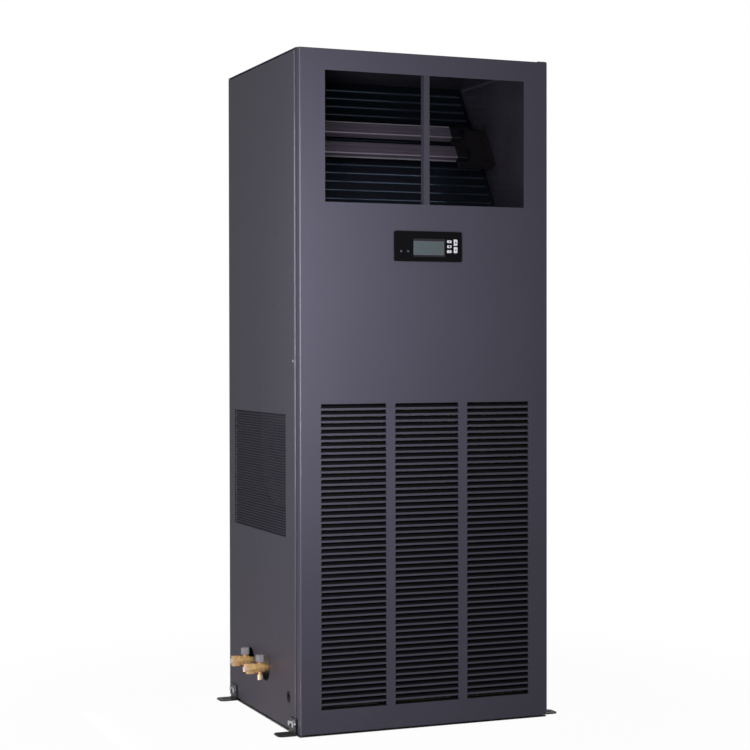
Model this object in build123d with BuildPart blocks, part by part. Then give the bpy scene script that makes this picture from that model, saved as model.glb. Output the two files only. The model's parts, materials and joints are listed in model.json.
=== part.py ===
from build123d import *
import math
import os

os.makedirs("parts", exist_ok=True)

# The cabinet stands on the floor at Z = 0, centred on the Z axis.
# Its door faces -Y and its refrigerant valves come out of the -X side. Sizes are millimetres.

# Cabinet: the return air and blower section, the controls section above the blower deck, and the
# coil section at the top
cabinet_width = 700
cabinet_depth = 600
blower_section_height = 868.0
controls_section_height = 387.0
coil_section_height = 495.0
cabinet_height = blower_section_height + controls_section_height + coil_section_height
skin = 1.5
frame_gauge = 2.0
bend_radius = 3.0
floor_gap = 6.0
seat_gap = 0.3

left_x = -cabinet_width / 2
right_x = cabinet_width / 2
front_y = -cabinet_depth / 2
rear_y = cabinet_depth / 2

# Door tray and the gap behind it
door_tray_depth = 21.0
door_gap = 4.0
door_lip = 26.0
door_top_gap = 0.5
door_back_y = front_y + door_tray_depth
frame_front_y = door_back_y + door_gap

# Top cover
cover_gauge = 2.0
cover_flange = 18.0
cover_bottom_z = cabinet_height - cover_gauge
door_bottom_z = floor_gap
door_top_z = cover_bottom_z - door_top_gap
door_height = door_top_z - door_bottom_z
door_mid_z = (door_top_z + door_bottom_z) / 2

# Side panels
panel_tray_depth = 20.0
post_strip = 12.0
panel_gap = bend_radius + seat_gap
panel_top_gap = 1.0
panel_front_y = frame_front_y + post_strip + panel_gap
panel_bottom_z = floor_gap
panel_top_z = cover_bottom_z - panel_top_gap
panel_height = panel_top_z - panel_bottom_z
panel_length = rear_y - panel_front_y
frame_half_width = cabinet_width / 2 - panel_tray_depth - seat_gap
inner_half_width = frame_half_width - frame_gauge

# Corner posts
post_setback = 2.0
post_front_flange = 38.0
post_side_flange = 38.0
post_bottom_z = floor_gap
rear_frame_y = rear_y - panel_tray_depth - seat_gap

# Base pan
base_height = 50.0
base_gauge = 2.5
base_lip = 18.0
base_front_y = frame_front_y + frame_gauge
base_rear_y = rear_frame_y - frame_gauge
base_runner_width = 46.0
base_runner_height = 10.0

# Window in the door, the air outlet
window_side_margin = 69.0
window_sill = 104.0
window_head = 57.0
window_width = cabinet_width - 2 * window_side_margin
window_bottom_z = cabinet_height - coil_section_height + window_sill
window_top_z = cabinet_height - window_head
mullion_width = 16.0
mullion_depth = 19.0
mullion_overlap = 14.0

# Return air louvres in the door
louvre_side_margin = 57.0
louvre_columns = 3
louvre_column_gap = 26.0
louvre_pitch = 16.0
louvre_slot_height = 10.0
louvre_top_drop = 22.4
louvre_floor_clearance = 66.0
louvre_column_pitch = (cabinet_width - 2 * louvre_side_margin + louvre_column_gap) / louvre_columns
louvre_width = louvre_column_pitch - louvre_column_gap
louvre_top_z = blower_section_height - louvre_top_drop
louvre_rows_height = louvre_top_z - louvre_slot_height - louvre_floor_clearance
louvre_slots = int(louvre_rows_height // louvre_pitch) + 1
louvre_web_depth = 15.0
louvre_web_rise = 8.0
louvre_gauge = 1.5
louvre_lip = 6.0
louvre_frame_depth = 18.0

# Display module in the door
display_width = 191.0
display_height = 78.0
display_x = 2.5
display_drop = 4.0
display_z = cabinet_height - coil_section_height - display_drop
display_proud = 4.0
display_wall = 2.5
display_body_inset = 6.0
display_body_depth = 17.0
display_corner = 5.0
display_edge = 1.0
screen_width = 90.0
screen_height = 47.0
screen_right = 3.0
screen_drop = 3.5
screen_x = display_x + screen_right
screen_z = display_z - screen_drop
screen_recess = 0.3
board_thickness = 1.6

# Buttons beside the screen
button_clearance = 0.3
button_travel = 1.0
button_proud = 1.5
button_flange = 1.0
button_flange_thickness = 1.2
button_corner = 1.0
button_edge = 0.6
small_button_width = 12.0
small_button_height = 7.0
small_button_right = 59.5
small_button_rise = 0.6
small_button_pitch = 13.0
small_button_x = display_x + small_button_right
small_button_z = display_z + small_button_rise
tall_button_width = 10.0
tall_button_height = 15.7
tall_button_right = 77.5
tall_button_rise = 1.7
tall_button_pitch = 19.4
tall_button_x = display_x + tall_button_right
tall_button_z = display_z + tall_button_rise

# Door hinge pins
hinge_inset = 7.0
hinge_pin_radius = 4.0
hinge_pin_clearance = 0.15
hinge_bush_wall = 1.1
hinge_bush_length = 20.0
hinge_ear = 24.0
hinge_flange_clearance = 0.5
hinge_ear_gauge = 3.0
hinge_ear_root = 52.0
hinge_x = right_x - hinge_inset
hinge_y = door_back_y - hinge_inset

# Foam seal on the door's back lip
gasket_width = 10.0
gasket_inset = 16.0

# Perforated grille in the left panel
side_grille_front_margin = 69.7
side_grille_rear_margin = 56.0
side_grille_height = 318.0
side_grille_drop = 210.0
side_grille_rim = 10.0
side_grille_row_pitch = 10.6
side_grille_slot_height = 5.6
side_grille_columns = 7
side_grille_bar = 5.0
side_grille_length = panel_length - side_grille_front_margin - side_grille_rear_margin
side_grille_y = panel_front_y + side_grille_front_margin + side_grille_length / 2
side_grille_z = blower_section_height - side_grille_drop

# Refrigerant service valves on the left
valve_z = 134.0
gas_valve_y = 109.0
liquid_valve_y = -19.0
valve_out = 15.0
valve_body_radius = 12.0
valve_body_length = 26.0
valve_barrel_radius = 8.5
valve_barrel_length = 62.0
valve_collar_radius = 13.0
valve_collar_length = 6.0
valve_chamfer = 2.0
valve_neck_radius = 7.0
valve_stem_reach = 22.0
valve_port_radius = 4.5
valve_port_reach = 20.0
valve_thread_radius = 8.0
valve_thread_length = 22.0
flare_nut_across = 27.0
flare_nut_length = 20.0
flare_nut_start = 17.0
flare_plug_radius = 6.5
flare_plug_length = 7.0
stem_cap_across = 21.0
stem_cap_height = 17.0
stem_cap_start = 17.0
port_cap_radius = 7.0
port_cap_height = 13.0
port_cap_start = 18.0
valve_hole_radius = 35.0
valve_plate_x = left_x + 26.0
valve_plate_gauge = 3.0
valve_plate_margin = 46.0
valve_plate_top = 44.0
valve_plate_foot = 30.0

# Drain outlet on the left
drain_from_panel_front = 51.7
drain_y = panel_front_y + drain_from_panel_front
drain_z = 89.0
drain_hose_radius = 12.5
drain_bore_radius = 9.5
drain_bore_depth = 24.0
drain_hole_radius = 15.0
drain_from_frame = 35.7
drain_x = drain_from_frame - inner_half_width
drain_bend = 28.0
drain_shift_top_z = 330.0
drain_shift_bottom_z = 210.0

# Floor anchor brackets
anchor_length = 50.0
anchor_reach = 48.0
anchor_height = 42.0
anchor_gauge = 3.0
anchor_front_y = frame_front_y + 3.0
anchor_end_inset = 20.0
anchor_slot_width = 11.0
anchor_slot_length = 20.0
anchor_slot_from_panel = 27.0
anchor_bolt_across = 13.0
anchor_bolt_head = 5.5
anchor_bolt_z = 27.0
anchor_bolt_spacing = 28.0
anchor_bolt_radius = 4.3
anchor_foot_radius = 14.0
anchor_corner_radius = 6.0

# Screws that hold the outer panels
screw_head_radius = 4.0
screw_head_height = 2.0
side_screw_z = 955.0
side_screw_inset = 8.0
screw_inset = 14.0

# Blower deck, with two outlets
deck_z = blower_section_height
deck_gauge = 2.0
deck_flange = 20.0
deck_setback = 37.0
deck_front_y = frame_front_y + deck_setback

# Blowers
blower_y = 40.0
blower_drop = 168.0
blower_gap = 224.0
blower_side_gap = 27.7
blower_z = deck_z - blower_drop
wheel_radius = 100.0
wheel_inner_radius = 82.0
wheel_side_gap = 13.0
wheel_blades = 28
wheel_blade_gauge = 1.4
wheel_blade_curve = 14.0
wheel_blade_bend = 80.0
wheel_ring = 4.0
wheel_disc = 3.0
wheel_hub_radius = 18.0
wheel_hub_length = 36.0
shaft_radius = 8.0
shaft_clearance = 0.15
scroll_gauge = 1.5
scroll_step = 14.0
scroll_first_radius = 118.0
scroll_cutoff_angle = 75.0
scroll_flange = 12.0
scroll_width = inner_half_width - blower_side_gap - scroll_flange - blower_gap / 2
wheel_width = scroll_width - 2 * wheel_side_gap
blower_x = (blower_gap + scroll_width) / 2
inlet_radius = 84.0
motor_radius = 72.0
motor_length = 150.0
motor_rib_count = 16
motor_rib = 4.0
motor_rib_length = 96.0
motor_boss_radius = 30.0
motor_boss = 12.0
cradle_gauge = 3.0
cradle_length = 60.0
cradle_foot = 24.0

# Condensate pan under the coil's lower edge
pan_clearance = 1.0
pan_height = 28.0
pan_gauge = 1.5
pan_front_reach = 85.2
pan_length = 175.0
pan_spout_radius = 9.0
pan_spout_length = 14.0
pan_spout_inset = 16.0
liner_bottom_z = cabinet_height - coil_section_height
pan_bottom_z = liner_bottom_z + pan_clearance

# Boards that line the outlet plenum
liner_thickness = 6.0
liner_gap = 2.0
ceiling_thickness = 9.0
ceiling_bottom_z = cover_bottom_z - seat_gap - ceiling_thickness

# Evaporator coil, leaning back from the pan to the plenum's rear top corner
coil_above_pan = 64.0
coil_below_ceiling = 2.7
coil_from_front = 190.2
coil_from_rear = 87.1
coil_low_z = pan_bottom_z + coil_above_pan
coil_rise = ceiling_bottom_z - coil_below_ceiling - coil_low_z
coil_low_y = frame_front_y + coil_from_front
coil_run = rear_frame_y - coil_from_rear - coil_low_y
coil_length = math.hypot(coil_run, coil_rise)
coil_depth = 60.0
coil_end_plate = 2.0
coil_end_flange = 12.0
coil_tube_radius = 4.8
coil_tube_pitch = 30.0
coil_tube_start = 25.0
coil_tubes = int((coil_length - coil_tube_start) // coil_tube_pitch) + 1
coil_tube_gap = 0.3
pan_front_y = coil_low_y - pan_front_reach
pan_rear_y = pan_front_y + pan_length
pan_spout_y = pan_front_y + pan_spout_inset

# Electric reheat bars in front of the coil
heater_offset = 60.0
heater_upper_along = 280.0
heater_lower_along = 208.5
heater_height = 42.0
heater_thickness = 22.0
heater_left_gap = 37.4
heater_right_gap = 113.4
liner_inner_x = inner_half_width - seat_gap - liner_thickness
heater_left_x = heater_left_gap - liner_inner_x
heater_right_x = liner_inner_x - heater_right_gap
heater_groove = 2.5
heater_cap_length = 30.0
heater_cap_inset = 2.0
heater_bracket_gauge = 3.0
heater_bracket_start = 170.0
heater_bracket_end = 308.0
heater_bracket_flange = 20.0
heater_cap_overlap = 6.0
heater_edge_radius = 4.0
heater_groove_pitch = 16.0

# Air filter behind the louvres
filter_side_margin = 45.0
filter_head_room = 30.0
filter_thickness = 20.0
filter_setback = 7.0
filter_width = cabinet_width - 2 * filter_side_margin
filter_front_y = frame_front_y + filter_setback
filter_rim = 16.0
filter_gauge = 1.2
filter_pleat = 26.0
filter_lift = 12.0
filter_rail_gauge = 1.5
filter_rail_lip = 14.0
rail_bend = 2.5
top_rail_height = 46.0
top_rail_return = 22.0

# Electrical box behind the door's plain middle
box_width = 420.0
box_depth = 100.0
box_x = -20.0
box_head_room = 55.0
box_front_gap = 25.0
box_bottom_z = deck_z + deck_gauge
box_top_z = liner_bottom_z - box_head_room
box_height = box_top_z - box_bottom_z
box_rear_y = frame_front_y + box_front_gap + box_depth
box_gauge = 1.5
box_lip = 12.0
contactor_width = 45.0
contactor_height = 74.0
contactor_depth = 62.0
contactor_count = 3
contactor_pitch = 58.0
contactor_step = 14.0
contactor_drop = 90.0
contactor_z = box_top_z - contactor_drop
contactor_from_edge = 48.0
din_rail_width = 35.0
din_rail_depth = 7.0
isolator_width = 60.0
isolator_height = 72.0
isolator_depth = 48.0
isolator_right = 150.0
isolator_rise = 110.0
isolator_x = box_x + isolator_right
isolator_z = box_bottom_z + isolator_rise
isolator_edge = 3.0
handle_radius = 17.0
handle_disc = 6.0
handle_grip_length = 28.0
handle_grip_width = 9.0
handle_grip_height = 14.0
handle_stub_radius = 5.0
handle_stub_length = 12.0

# Compressor and its pipes
suction_from_frame = 17.7
suction_behind_pan = 15.0
suction_rise = 90.0
discharge_rise = 30.0
discharge_from_left = 88.0
riser_below_pan = 34.0
riser_behind_pan = 25.0
suction_x = inner_half_width - suction_from_frame
suction_y = pan_rear_y + suction_behind_pan
discharge_x = left_x + discharge_from_left
riser_turn_z = pan_bottom_z - riser_below_pan
riser_coil_y = pan_rear_y + riser_behind_pan
coil_stub_radius = 10.0
coil_stub_start = 25.0
coil_stub_bottom_z = coil_low_z + coil_stub_start
compressor_x = 70.0
compressor_y = 109.0
compressor_radius = 78.0
compressor_height = 340.0
compressor_dome = 34.0
compressor_seam = 4.0
compressor_seam_drop = 52.0
compressor_foot_margin = 20.0
compressor_foot_radius = 96.0
compressor_foot_gauge = 4.0
compressor_foot_bolt_radius = 82.0
grommet_radius = 15.0
grommet_height = 16.0
grommet_waist = 11.0
accumulator_radius = 36.0
accumulator_height = 200.0
accumulator_offset = 122.0
accumulator_bottom_z = 100.0
accumulator_elbow_z = 76.0
accumulator_strap_z = 200.0
accumulator_strap_height = 24.0
accumulator_strap_width = 30.0
drier_radius = 25.0
drier_length = 140.0
drier_neck = 14.0
drier_neck_radius = 8.0
drier_from_left = 110.0
drier_x = left_x + drier_from_left
drier_y = -130.0
drier_bottom_z = 250.0
gas_pipe_radius = 8.0
liquid_pipe_radius = 4.8
pipe_bend = 22.0
pipe_hole_clearance = 3.0
foot_bolt_spread = compressor_foot_bolt_radius * math.sqrt(0.5)

coil_sine = coil_run / coil_length
coil_cosine = coil_rise / coil_length
stub_reach = riser_coil_y + coil_stub_radius - coil_low_y - coil_depth / coil_cosine
coil_stub_length = stub_reach * coil_cosine / coil_sine - coil_stub_start
coil_front = Plane(
    origin=(0, coil_low_y, coil_low_z), x_dir=(1, 0, 0), z_dir=(0, -coil_cosine, coil_sine)
)


def at_x(x):
    """A plane across the cabinet at x: its own axes are Y and Z, and it faces +X."""
    return Plane.YZ.offset(x)


def at_y(y):
    """A plane along the front at y: its own axes are X and Z, and it faces -Y."""
    return Plane.XZ.offset(-y)


def at_z(z):
    """A level plane at height z."""
    return Plane.XY.offset(z)


def folded_sheet(plane, points, gauge, bend):
    """The cross-section of a sheet folded along the given points, with its gauge on their left."""
    with BuildSketch(plane) as section:
        with BuildLine():
            FilletPolyline(*points, radius=bend)
            offset(amount=gauge, side=Side.LEFT)
        make_face()
    return section.sketch


def other_side(points):
    """The same outline mirrored to the other side, with its gauge still on the left."""
    return [(-x, y) for x, y in reversed(points)]


# Base pan: a welded tray with an inward lip, two runners and an ear for the lower hinge pin
base_length = base_rear_y - base_front_y
base_mid_y = (base_rear_y + base_front_y) / 2
with BuildPart() as base_pan:
    with BuildSketch():
        with Locations((0, base_mid_y)):
            Rectangle(2 * inner_half_width, base_length)
    extrude(amount=base_height)
    fillet(edges().filter_by(Axis.Z), radius=bend_radius)
    with BuildSketch(at_z(base_gauge)):
        with Locations((0, base_mid_y)):
            Rectangle(2 * (inner_half_width - base_gauge), base_length - 2 * base_gauge)
    extrude(amount=base_height - 2 * base_gauge, mode=Mode.SUBTRACT)
    with BuildSketch(at_z(base_height - base_gauge)):
        with Locations((0, base_mid_y)):
            Rectangle(2 * (inner_half_width - base_lip), base_length - 2 * base_lip)
    extrude(amount=base_gauge, mode=Mode.SUBTRACT)
    with BuildSketch(at_z(base_gauge)):
        with Locations((compressor_x, compressor_y)):
            with GridLocations(0, 2 * foot_bolt_spread, 1, 2):
                Rectangle(2 * compressor_foot_radius, base_runner_width)
    extrude(amount=base_runner_height)
    with BuildSketch():
        with Locations((right_x - hinge_ear_root / 2, (hinge_y - hinge_inset + base_front_y) / 2)):
            Rectangle(hinge_ear_root, base_front_y - hinge_y + hinge_inset)
    extrude(amount=hinge_ear_gauge)
    with BuildSketch():
        with Locations((hinge_x, hinge_y)):
            Circle(hinge_pin_radius)
    extrude(amount=hinge_ear_gauge, mode=Mode.SUBTRACT)
base_pan.part.label = "base_pan"
export_step(base_pan.part, "parts/base_pan.step")

# Corner posts: folded sheet. The front ones have a flange that the door closes on, and a strip
# that shows beside it.
post_face_x = cabinet_width / 2 - post_setback
front_post_line = [
    (post_face_x - post_front_flange, frame_front_y),
    (post_face_x, frame_front_y),
    (post_face_x, frame_front_y + post_strip),
    (frame_half_width, frame_front_y + post_strip),
    (frame_half_width, frame_front_y + post_strip + post_side_flange),
]
rear_post_line = [
    (frame_half_width, rear_frame_y - post_side_flange),
    (frame_half_width, rear_frame_y),
    (frame_half_width - post_side_flange, rear_frame_y),
]
post_height = cover_bottom_z - post_bottom_z
for name, line in (("front_posts", front_post_line), ("rear_posts", rear_post_line)):
    with BuildPart() as posts:
        extrude(folded_sheet(at_z(post_bottom_z), line, frame_gauge, bend_radius), amount=post_height)
        extrude(
            folded_sheet(at_z(post_bottom_z), other_side(line), frame_gauge, bend_radius),
            amount=post_height,
        )
    posts.part.label = name
    export_step(posts.part, f"parts/{name}.step")

# Front rails: one over the base pan and one under the deck, each with a channel that holds the
# filter, and one at the top
rail_half_width = post_face_x - post_front_flange - seat_gap
filter_rear_y = filter_front_y + filter_thickness
lower_rail_z = base_height
upper_rail_z = deck_z - seat_gap
filter_bottom_z = lower_rail_z + filter_rail_gauge + seat_gap
filter_top_z = deck_z - filter_head_room
filter_height = filter_top_z - filter_bottom_z
rail_rear_y = filter_rear_y + 2 * filter_rail_gauge
lower_rail_line = [
    (frame_front_y, lower_rail_z + filter_rail_lip),
    (frame_front_y, lower_rail_z),
    (rail_rear_y, lower_rail_z),
    (rail_rear_y, lower_rail_z + filter_rail_lip),
]
upper_rail_drop = upper_rail_z - filter_top_z + filter_rail_lip - filter_lift / 2
upper_rail_line = [
    (rail_rear_y, upper_rail_z - upper_rail_drop),
    (rail_rear_y, upper_rail_z),
    (frame_front_y, upper_rail_z),
    (frame_front_y, upper_rail_z - upper_rail_drop),
]
top_rail_line = [
    (frame_front_y + top_rail_return, cover_bottom_z - top_rail_height),
    (frame_front_y, cover_bottom_z - top_rail_height),
    (frame_front_y, cover_bottom_z - seat_gap),
    (frame_front_y + top_rail_return, cover_bottom_z - seat_gap),
]
with BuildPart() as front_rails:
    for line in (lower_rail_line, upper_rail_line, top_rail_line[::-1]):
        extrude(
            folded_sheet(at_x(0), line, filter_rail_gauge, rail_bend), amount=rail_half_width, both=True
        )
front_rails.part.label = "front_rails"
export_step(front_rails.part, "parts/front_rails.step")

# Top cover: a flat sheet with locating flanges inside the frame and an ear over the door for the
# upper hinge pin
cover_length = rear_y - frame_front_y
cover_mid_y = (rear_y + frame_front_y) / 2
cover_ear_depth = frame_front_y - hinge_y + hinge_inset
cover_flange_x = inner_half_width - seat_gap
cover_flange_y = base_rear_y - seat_gap
cover_flange_front_y = frame_front_y + top_rail_return + seat_gap
with BuildPart() as top_cover:
    with BuildSketch(at_z(cover_bottom_z)):
        with Locations((0, cover_mid_y)):
            Rectangle(cabinet_width, cover_length)
        with Locations((right_x - hinge_ear / 2, frame_front_y - cover_ear_depth / 2)):
            Rectangle(hinge_ear, cover_ear_depth)
        with Locations((hinge_x, hinge_y)):
            Circle(hinge_pin_radius, mode=Mode.SUBTRACT)
    extrude(amount=cover_gauge)
    with BuildSketch(at_z(cover_bottom_z)):
        with Locations((0, (cover_flange_y + cover_flange_front_y) / 2)):
            Rectangle(2 * cover_flange_x, cover_flange_y - cover_flange_front_y)
            Rectangle(
                2 * (cover_flange_x - skin),
                cover_flange_y - cover_flange_front_y - 2 * skin,
                mode=Mode.SUBTRACT,
            )
    extrude(amount=-cover_flange)
top_cover.part.label = "top_cover"
export_step(top_cover.part, "parts/top_cover.step")

# Left side panel: a pressed tray, pierced for the grille, the two valves and the drain
panel_mid_y = (panel_front_y + rear_y) / 2
panel_mid_z = (panel_bottom_z + panel_top_z) / 2
with BuildPart() as left_side_panel:
    with BuildSketch(at_x(left_x)):
        with Locations((panel_mid_y, panel_mid_z)):
            Rectangle(panel_length, panel_height)
    extrude(amount=panel_tray_depth)
    fillet(faces().sort_by(Axis.X)[0].edges(), radius=bend_radius)
    offset(amount=-skin, openings=faces().sort_by(Axis.X)[-1])
    with BuildSketch(at_x(left_x)):
        with Locations((side_grille_y, side_grille_z)):
            Rectangle(side_grille_length, side_grille_height)
        with Locations((gas_valve_y, valve_z), (liquid_valve_y, valve_z)):
            Circle(valve_hole_radius)
        with Locations((drain_y, drain_z)):
            Circle(drain_hole_radius)
    extrude(amount=2 * skin, mode=Mode.SUBTRACT)
left_side_panel.part.label = "left_side_panel"
export_step(left_side_panel.part, "parts/left_side_panel.step")

# Right side panel: the same tray, unpierced
with BuildPart() as right_side_panel:
    with BuildSketch(at_x(right_x)):
        with Locations((panel_mid_y, panel_mid_z)):
            Rectangle(panel_length, panel_height)
    extrude(amount=-panel_tray_depth)
    fillet(faces().sort_by(Axis.X)[-1].edges(), radius=bend_radius)
    offset(amount=-skin, openings=faces().sort_by(Axis.X)[0])
right_side_panel.part.label = "right_side_panel"
export_step(right_side_panel.part, "parts/right_side_panel.step")

# Rear panel: a tray between the side panels, on the rear posts
rear_panel_width = 2 * (frame_half_width - seat_gap)
with BuildPart() as rear_panel:
    with BuildSketch(at_y(rear_y)):
        with Locations((0, panel_mid_z)):
            Rectangle(rear_panel_width, panel_height)
    extrude(amount=panel_tray_depth)
    fillet(faces().sort_by(Axis.Y)[-1].edges(), radius=bend_radius)
    offset(amount=-skin, openings=faces().sort_by(Axis.Y)[0])
rear_panel.part.label = "rear_panel"
export_step(rear_panel.part, "parts/rear_panel.step")

# Side grille: a plate with rows of short slots, behind the opening in the left panel
grille_column_pitch = (side_grille_length + side_grille_bar) / side_grille_columns
grille_slot_length = grille_column_pitch - side_grille_bar
grille_rows = int(side_grille_height // side_grille_row_pitch)
with BuildPart() as side_grille:
    with BuildSketch(at_x(left_x + skin)):
        with Locations((side_grille_y, side_grille_z)):
            Rectangle(
                side_grille_length + 2 * side_grille_rim, side_grille_height + 2 * side_grille_rim
            )
            with GridLocations(
                grille_column_pitch, side_grille_row_pitch, side_grille_columns, grille_rows
            ):
                Rectangle(grille_slot_length, side_grille_slot_height, mode=Mode.SUBTRACT)
    extrude(amount=skin)
side_grille.part.label = "side_grille"
export_step(side_grille.part, "parts/side_grille.step")

# Floor anchor brackets: an angle at each bottom corner, with a rounded, slotted foot
anchor_mid_front_y = anchor_front_y + anchor_length / 2
anchor_mid_rear_y = rear_y - anchor_end_inset - anchor_length / 2
with BuildPart() as anchor_brackets:
    for side in (-1, 1):
        for mid_y in (anchor_mid_front_y, anchor_mid_rear_y):
            face_x = side * (cabinet_width / 2 + seat_gap)
            with BuildSketch(at_z(0)):
                with Locations((face_x + side * anchor_reach / 2, mid_y)):
                    Rectangle(anchor_reach, anchor_length)
                outer = vertices().group_by(Axis.X)[0 if side < 0 else -1]
                fillet(outer, radius=anchor_foot_radius)
                with Locations((side * (cabinet_width / 2 + anchor_slot_from_panel), mid_y)):
                    SlotOverall(anchor_slot_length, anchor_slot_width, mode=Mode.SUBTRACT)
            extrude(amount=anchor_gauge)
            with BuildSketch(at_x(face_x)):
                with Locations((mid_y, anchor_height / 2)):
                    Rectangle(anchor_length, anchor_height)
                fillet(vertices().group_by(Axis.Z)[-1], radius=anchor_corner_radius)
                with Locations((mid_y, anchor_bolt_z)):
                    with GridLocations(anchor_bolt_spacing, 0, 2, 1):
                        Circle(anchor_bolt_radius, mode=Mode.SUBTRACT)
            extrude(amount=side * anchor_gauge)
anchor_brackets.part.label = "anchor_brackets"
export_step(anchor_brackets.part, "parts/anchor_brackets.step")

# Bracket bolts: hexagon heads outside the brackets, shanks through them into the panel
with BuildPart() as bracket_bolts:
    for side in (-1, 1):
        head_x = side * (cabinet_width / 2 + seat_gap + anchor_gauge)
        for mid_y in (anchor_mid_front_y, anchor_mid_rear_y):
            with BuildSketch(at_x(head_x)):
                with Locations((mid_y, anchor_bolt_z)):
                    with GridLocations(anchor_bolt_spacing, 0, 2, 1):
                        RegularPolygon(anchor_bolt_across / 2, 6, major_radius=False)
            extrude(amount=side * anchor_bolt_head)
            with BuildSketch(at_x(head_x)):
                with Locations((mid_y, anchor_bolt_z)):
                    with GridLocations(anchor_bolt_spacing, 0, 2, 1):
                        RegularPolygon(anchor_bolt_radius - seat_gap, 6)
            extrude(amount=-side * anchor_gauge)
bracket_bolts.part.label = "bracket_bolts"
export_step(bracket_bolts.part, "parts/bracket_bolts.step")

# Panel screws: pan heads on the side, rear and top panels
with BuildPart() as panel_screws:
    for side in (-1, 1):
        with BuildSketch(at_x(side * cabinet_width / 2)):
            with Locations((panel_front_y + side_screw_inset, side_screw_z)):
                Circle(screw_head_radius)
        extrude(amount=side * screw_head_height)
    with BuildSketch(at_y(rear_y)):
        with Locations((0, panel_mid_z)):
            with GridLocations(
                rear_panel_width - 2 * screw_inset, panel_height / 2 - screw_inset, 2, 3
            ):
                RegularPolygon(screw_head_radius, 8)
    extrude(amount=-screw_head_height)
    with BuildSketch(at_z(cabinet_height)):
        with Locations((0, cover_mid_y)):
            with GridLocations(
                cabinet_width - 2 * screw_inset, cover_length - 2 * screw_inset, 2, 2
            ):
                RegularPolygon(screw_head_radius, 8)
    extrude(amount=screw_head_height)
panel_screws.part.label = "panel_screws"
export_step(panel_screws.part, "parts/panel_screws.step")

# Blower deck: a shelf with folded edges, pierced for the two outlets and the pipes
deck_half_width = inner_half_width - seat_gap
deck_rear_y = base_rear_y - seat_gap
deck_mid_y = (deck_front_y + deck_rear_y) / 2
scroll_cutoff = math.radians(scroll_cutoff_angle)
scroll_left_centre = (-scroll_step / 2, -scroll_step / 2)
outlet_start = scroll_left_centre[0] + scroll_first_radius * math.cos(scroll_cutoff)
outlet_end = scroll_step / 2 + scroll_first_radius + 2 * scroll_step
outlet_top = deck_z - blower_z
outlet_mid_y = blower_y + (outlet_start + outlet_end) / 2
outlet_length = outlet_end - outlet_start
outlet_width = scroll_width - 2 * scroll_gauge
with BuildPart() as blower_deck:
    with BuildSketch(at_z(deck_z)):
        with Locations((0, deck_mid_y)):
            Rectangle(2 * deck_half_width, deck_rear_y - deck_front_y)
        with Locations((0, outlet_mid_y)):
            with GridLocations(2 * blower_x, 0, 2, 1):
                Rectangle(outlet_width, outlet_length, mode=Mode.SUBTRACT)
        with Locations((drain_x, pan_spout_y)):
            Circle(drain_hose_radius + pipe_hole_clearance, mode=Mode.SUBTRACT)
        with Locations((drier_x, drier_y)):
            Circle(liquid_pipe_radius + pipe_hole_clearance, mode=Mode.SUBTRACT)
        with Locations((suction_x, suction_y)):
            Circle(gas_pipe_radius + pipe_hole_clearance, mode=Mode.SUBTRACT)
    extrude(amount=deck_gauge)
    with BuildSketch(at_z(deck_z)):
        with Locations((0, deck_mid_y)):
            with GridLocations(2 * deck_half_width - deck_gauge, 0, 2, 1):
                Rectangle(deck_gauge, deck_rear_y - deck_front_y)
    extrude(amount=-deck_flange)
blower_deck.part.label = "blower_deck"
export_step(blower_deck.part, "parts/blower_deck.step")


def scroll_outline(grow, top):
    """The blower scroll seen along its shaft: three growing arcs that open into an upward outlet.
    It is drawn about the shaft, grown outwards by grow, and ends at height top."""
    first = scroll_first_radius + grow
    half = scroll_step / 2
    cutoff = math.degrees(math.acos((outlet_start - grow + half) / first))
    with BuildSketch(Plane.XY) as outline:
        with BuildLine():
            left = CenterArc((-half, -half), first, cutoff, 180 - cutoff)
            rise = Line((outlet_start - grow, top), left @ 0)
            CenterArc((half, -half), first + scroll_step, 180, 90)
            right = CenterArc((half, half), first + 2 * scroll_step, 270, 90)
            up = Line(right @ 1, (half + first + 2 * scroll_step, top))
            Line(up @ 1, rise @ 0)
        make_face()
    return outline.sketch


# Blower housings: sheet scrolls with a round inlet in each cheek and a flange under the deck
for side, name in ((-1, "blower_housing_left"), (1, "blower_housing_right")):
    cheek = Plane(
        origin=(side * blower_x - scroll_width / 2, blower_y, blower_z), x_dir=(0, 1, 0), z_dir=(1, 0, 0)
    )
    with BuildPart() as blower_housing:
        with BuildSketch(cheek):
            add(scroll_outline(scroll_gauge, outlet_top - seat_gap))
        extrude(amount=scroll_width)
        with BuildSketch(at_z(deck_z - seat_gap)):
            with Locations((side * blower_x, outlet_mid_y)):
                Rectangle(scroll_width + 2 * scroll_flange, outlet_length + 2 * scroll_flange)
        extrude(amount=-deck_gauge)
        with BuildSketch(cheek.offset(scroll_gauge)):
            add(scroll_outline(0, outlet_top + deck_gauge))
        extrude(amount=outlet_width, mode=Mode.SUBTRACT)
        with BuildSketch(cheek):
            Circle(inlet_radius)
        extrude(amount=scroll_width, mode=Mode.SUBTRACT)
    blower_housing.part.label = name
    export_step(blower_housing.part, f"parts/{name}.step")

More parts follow.
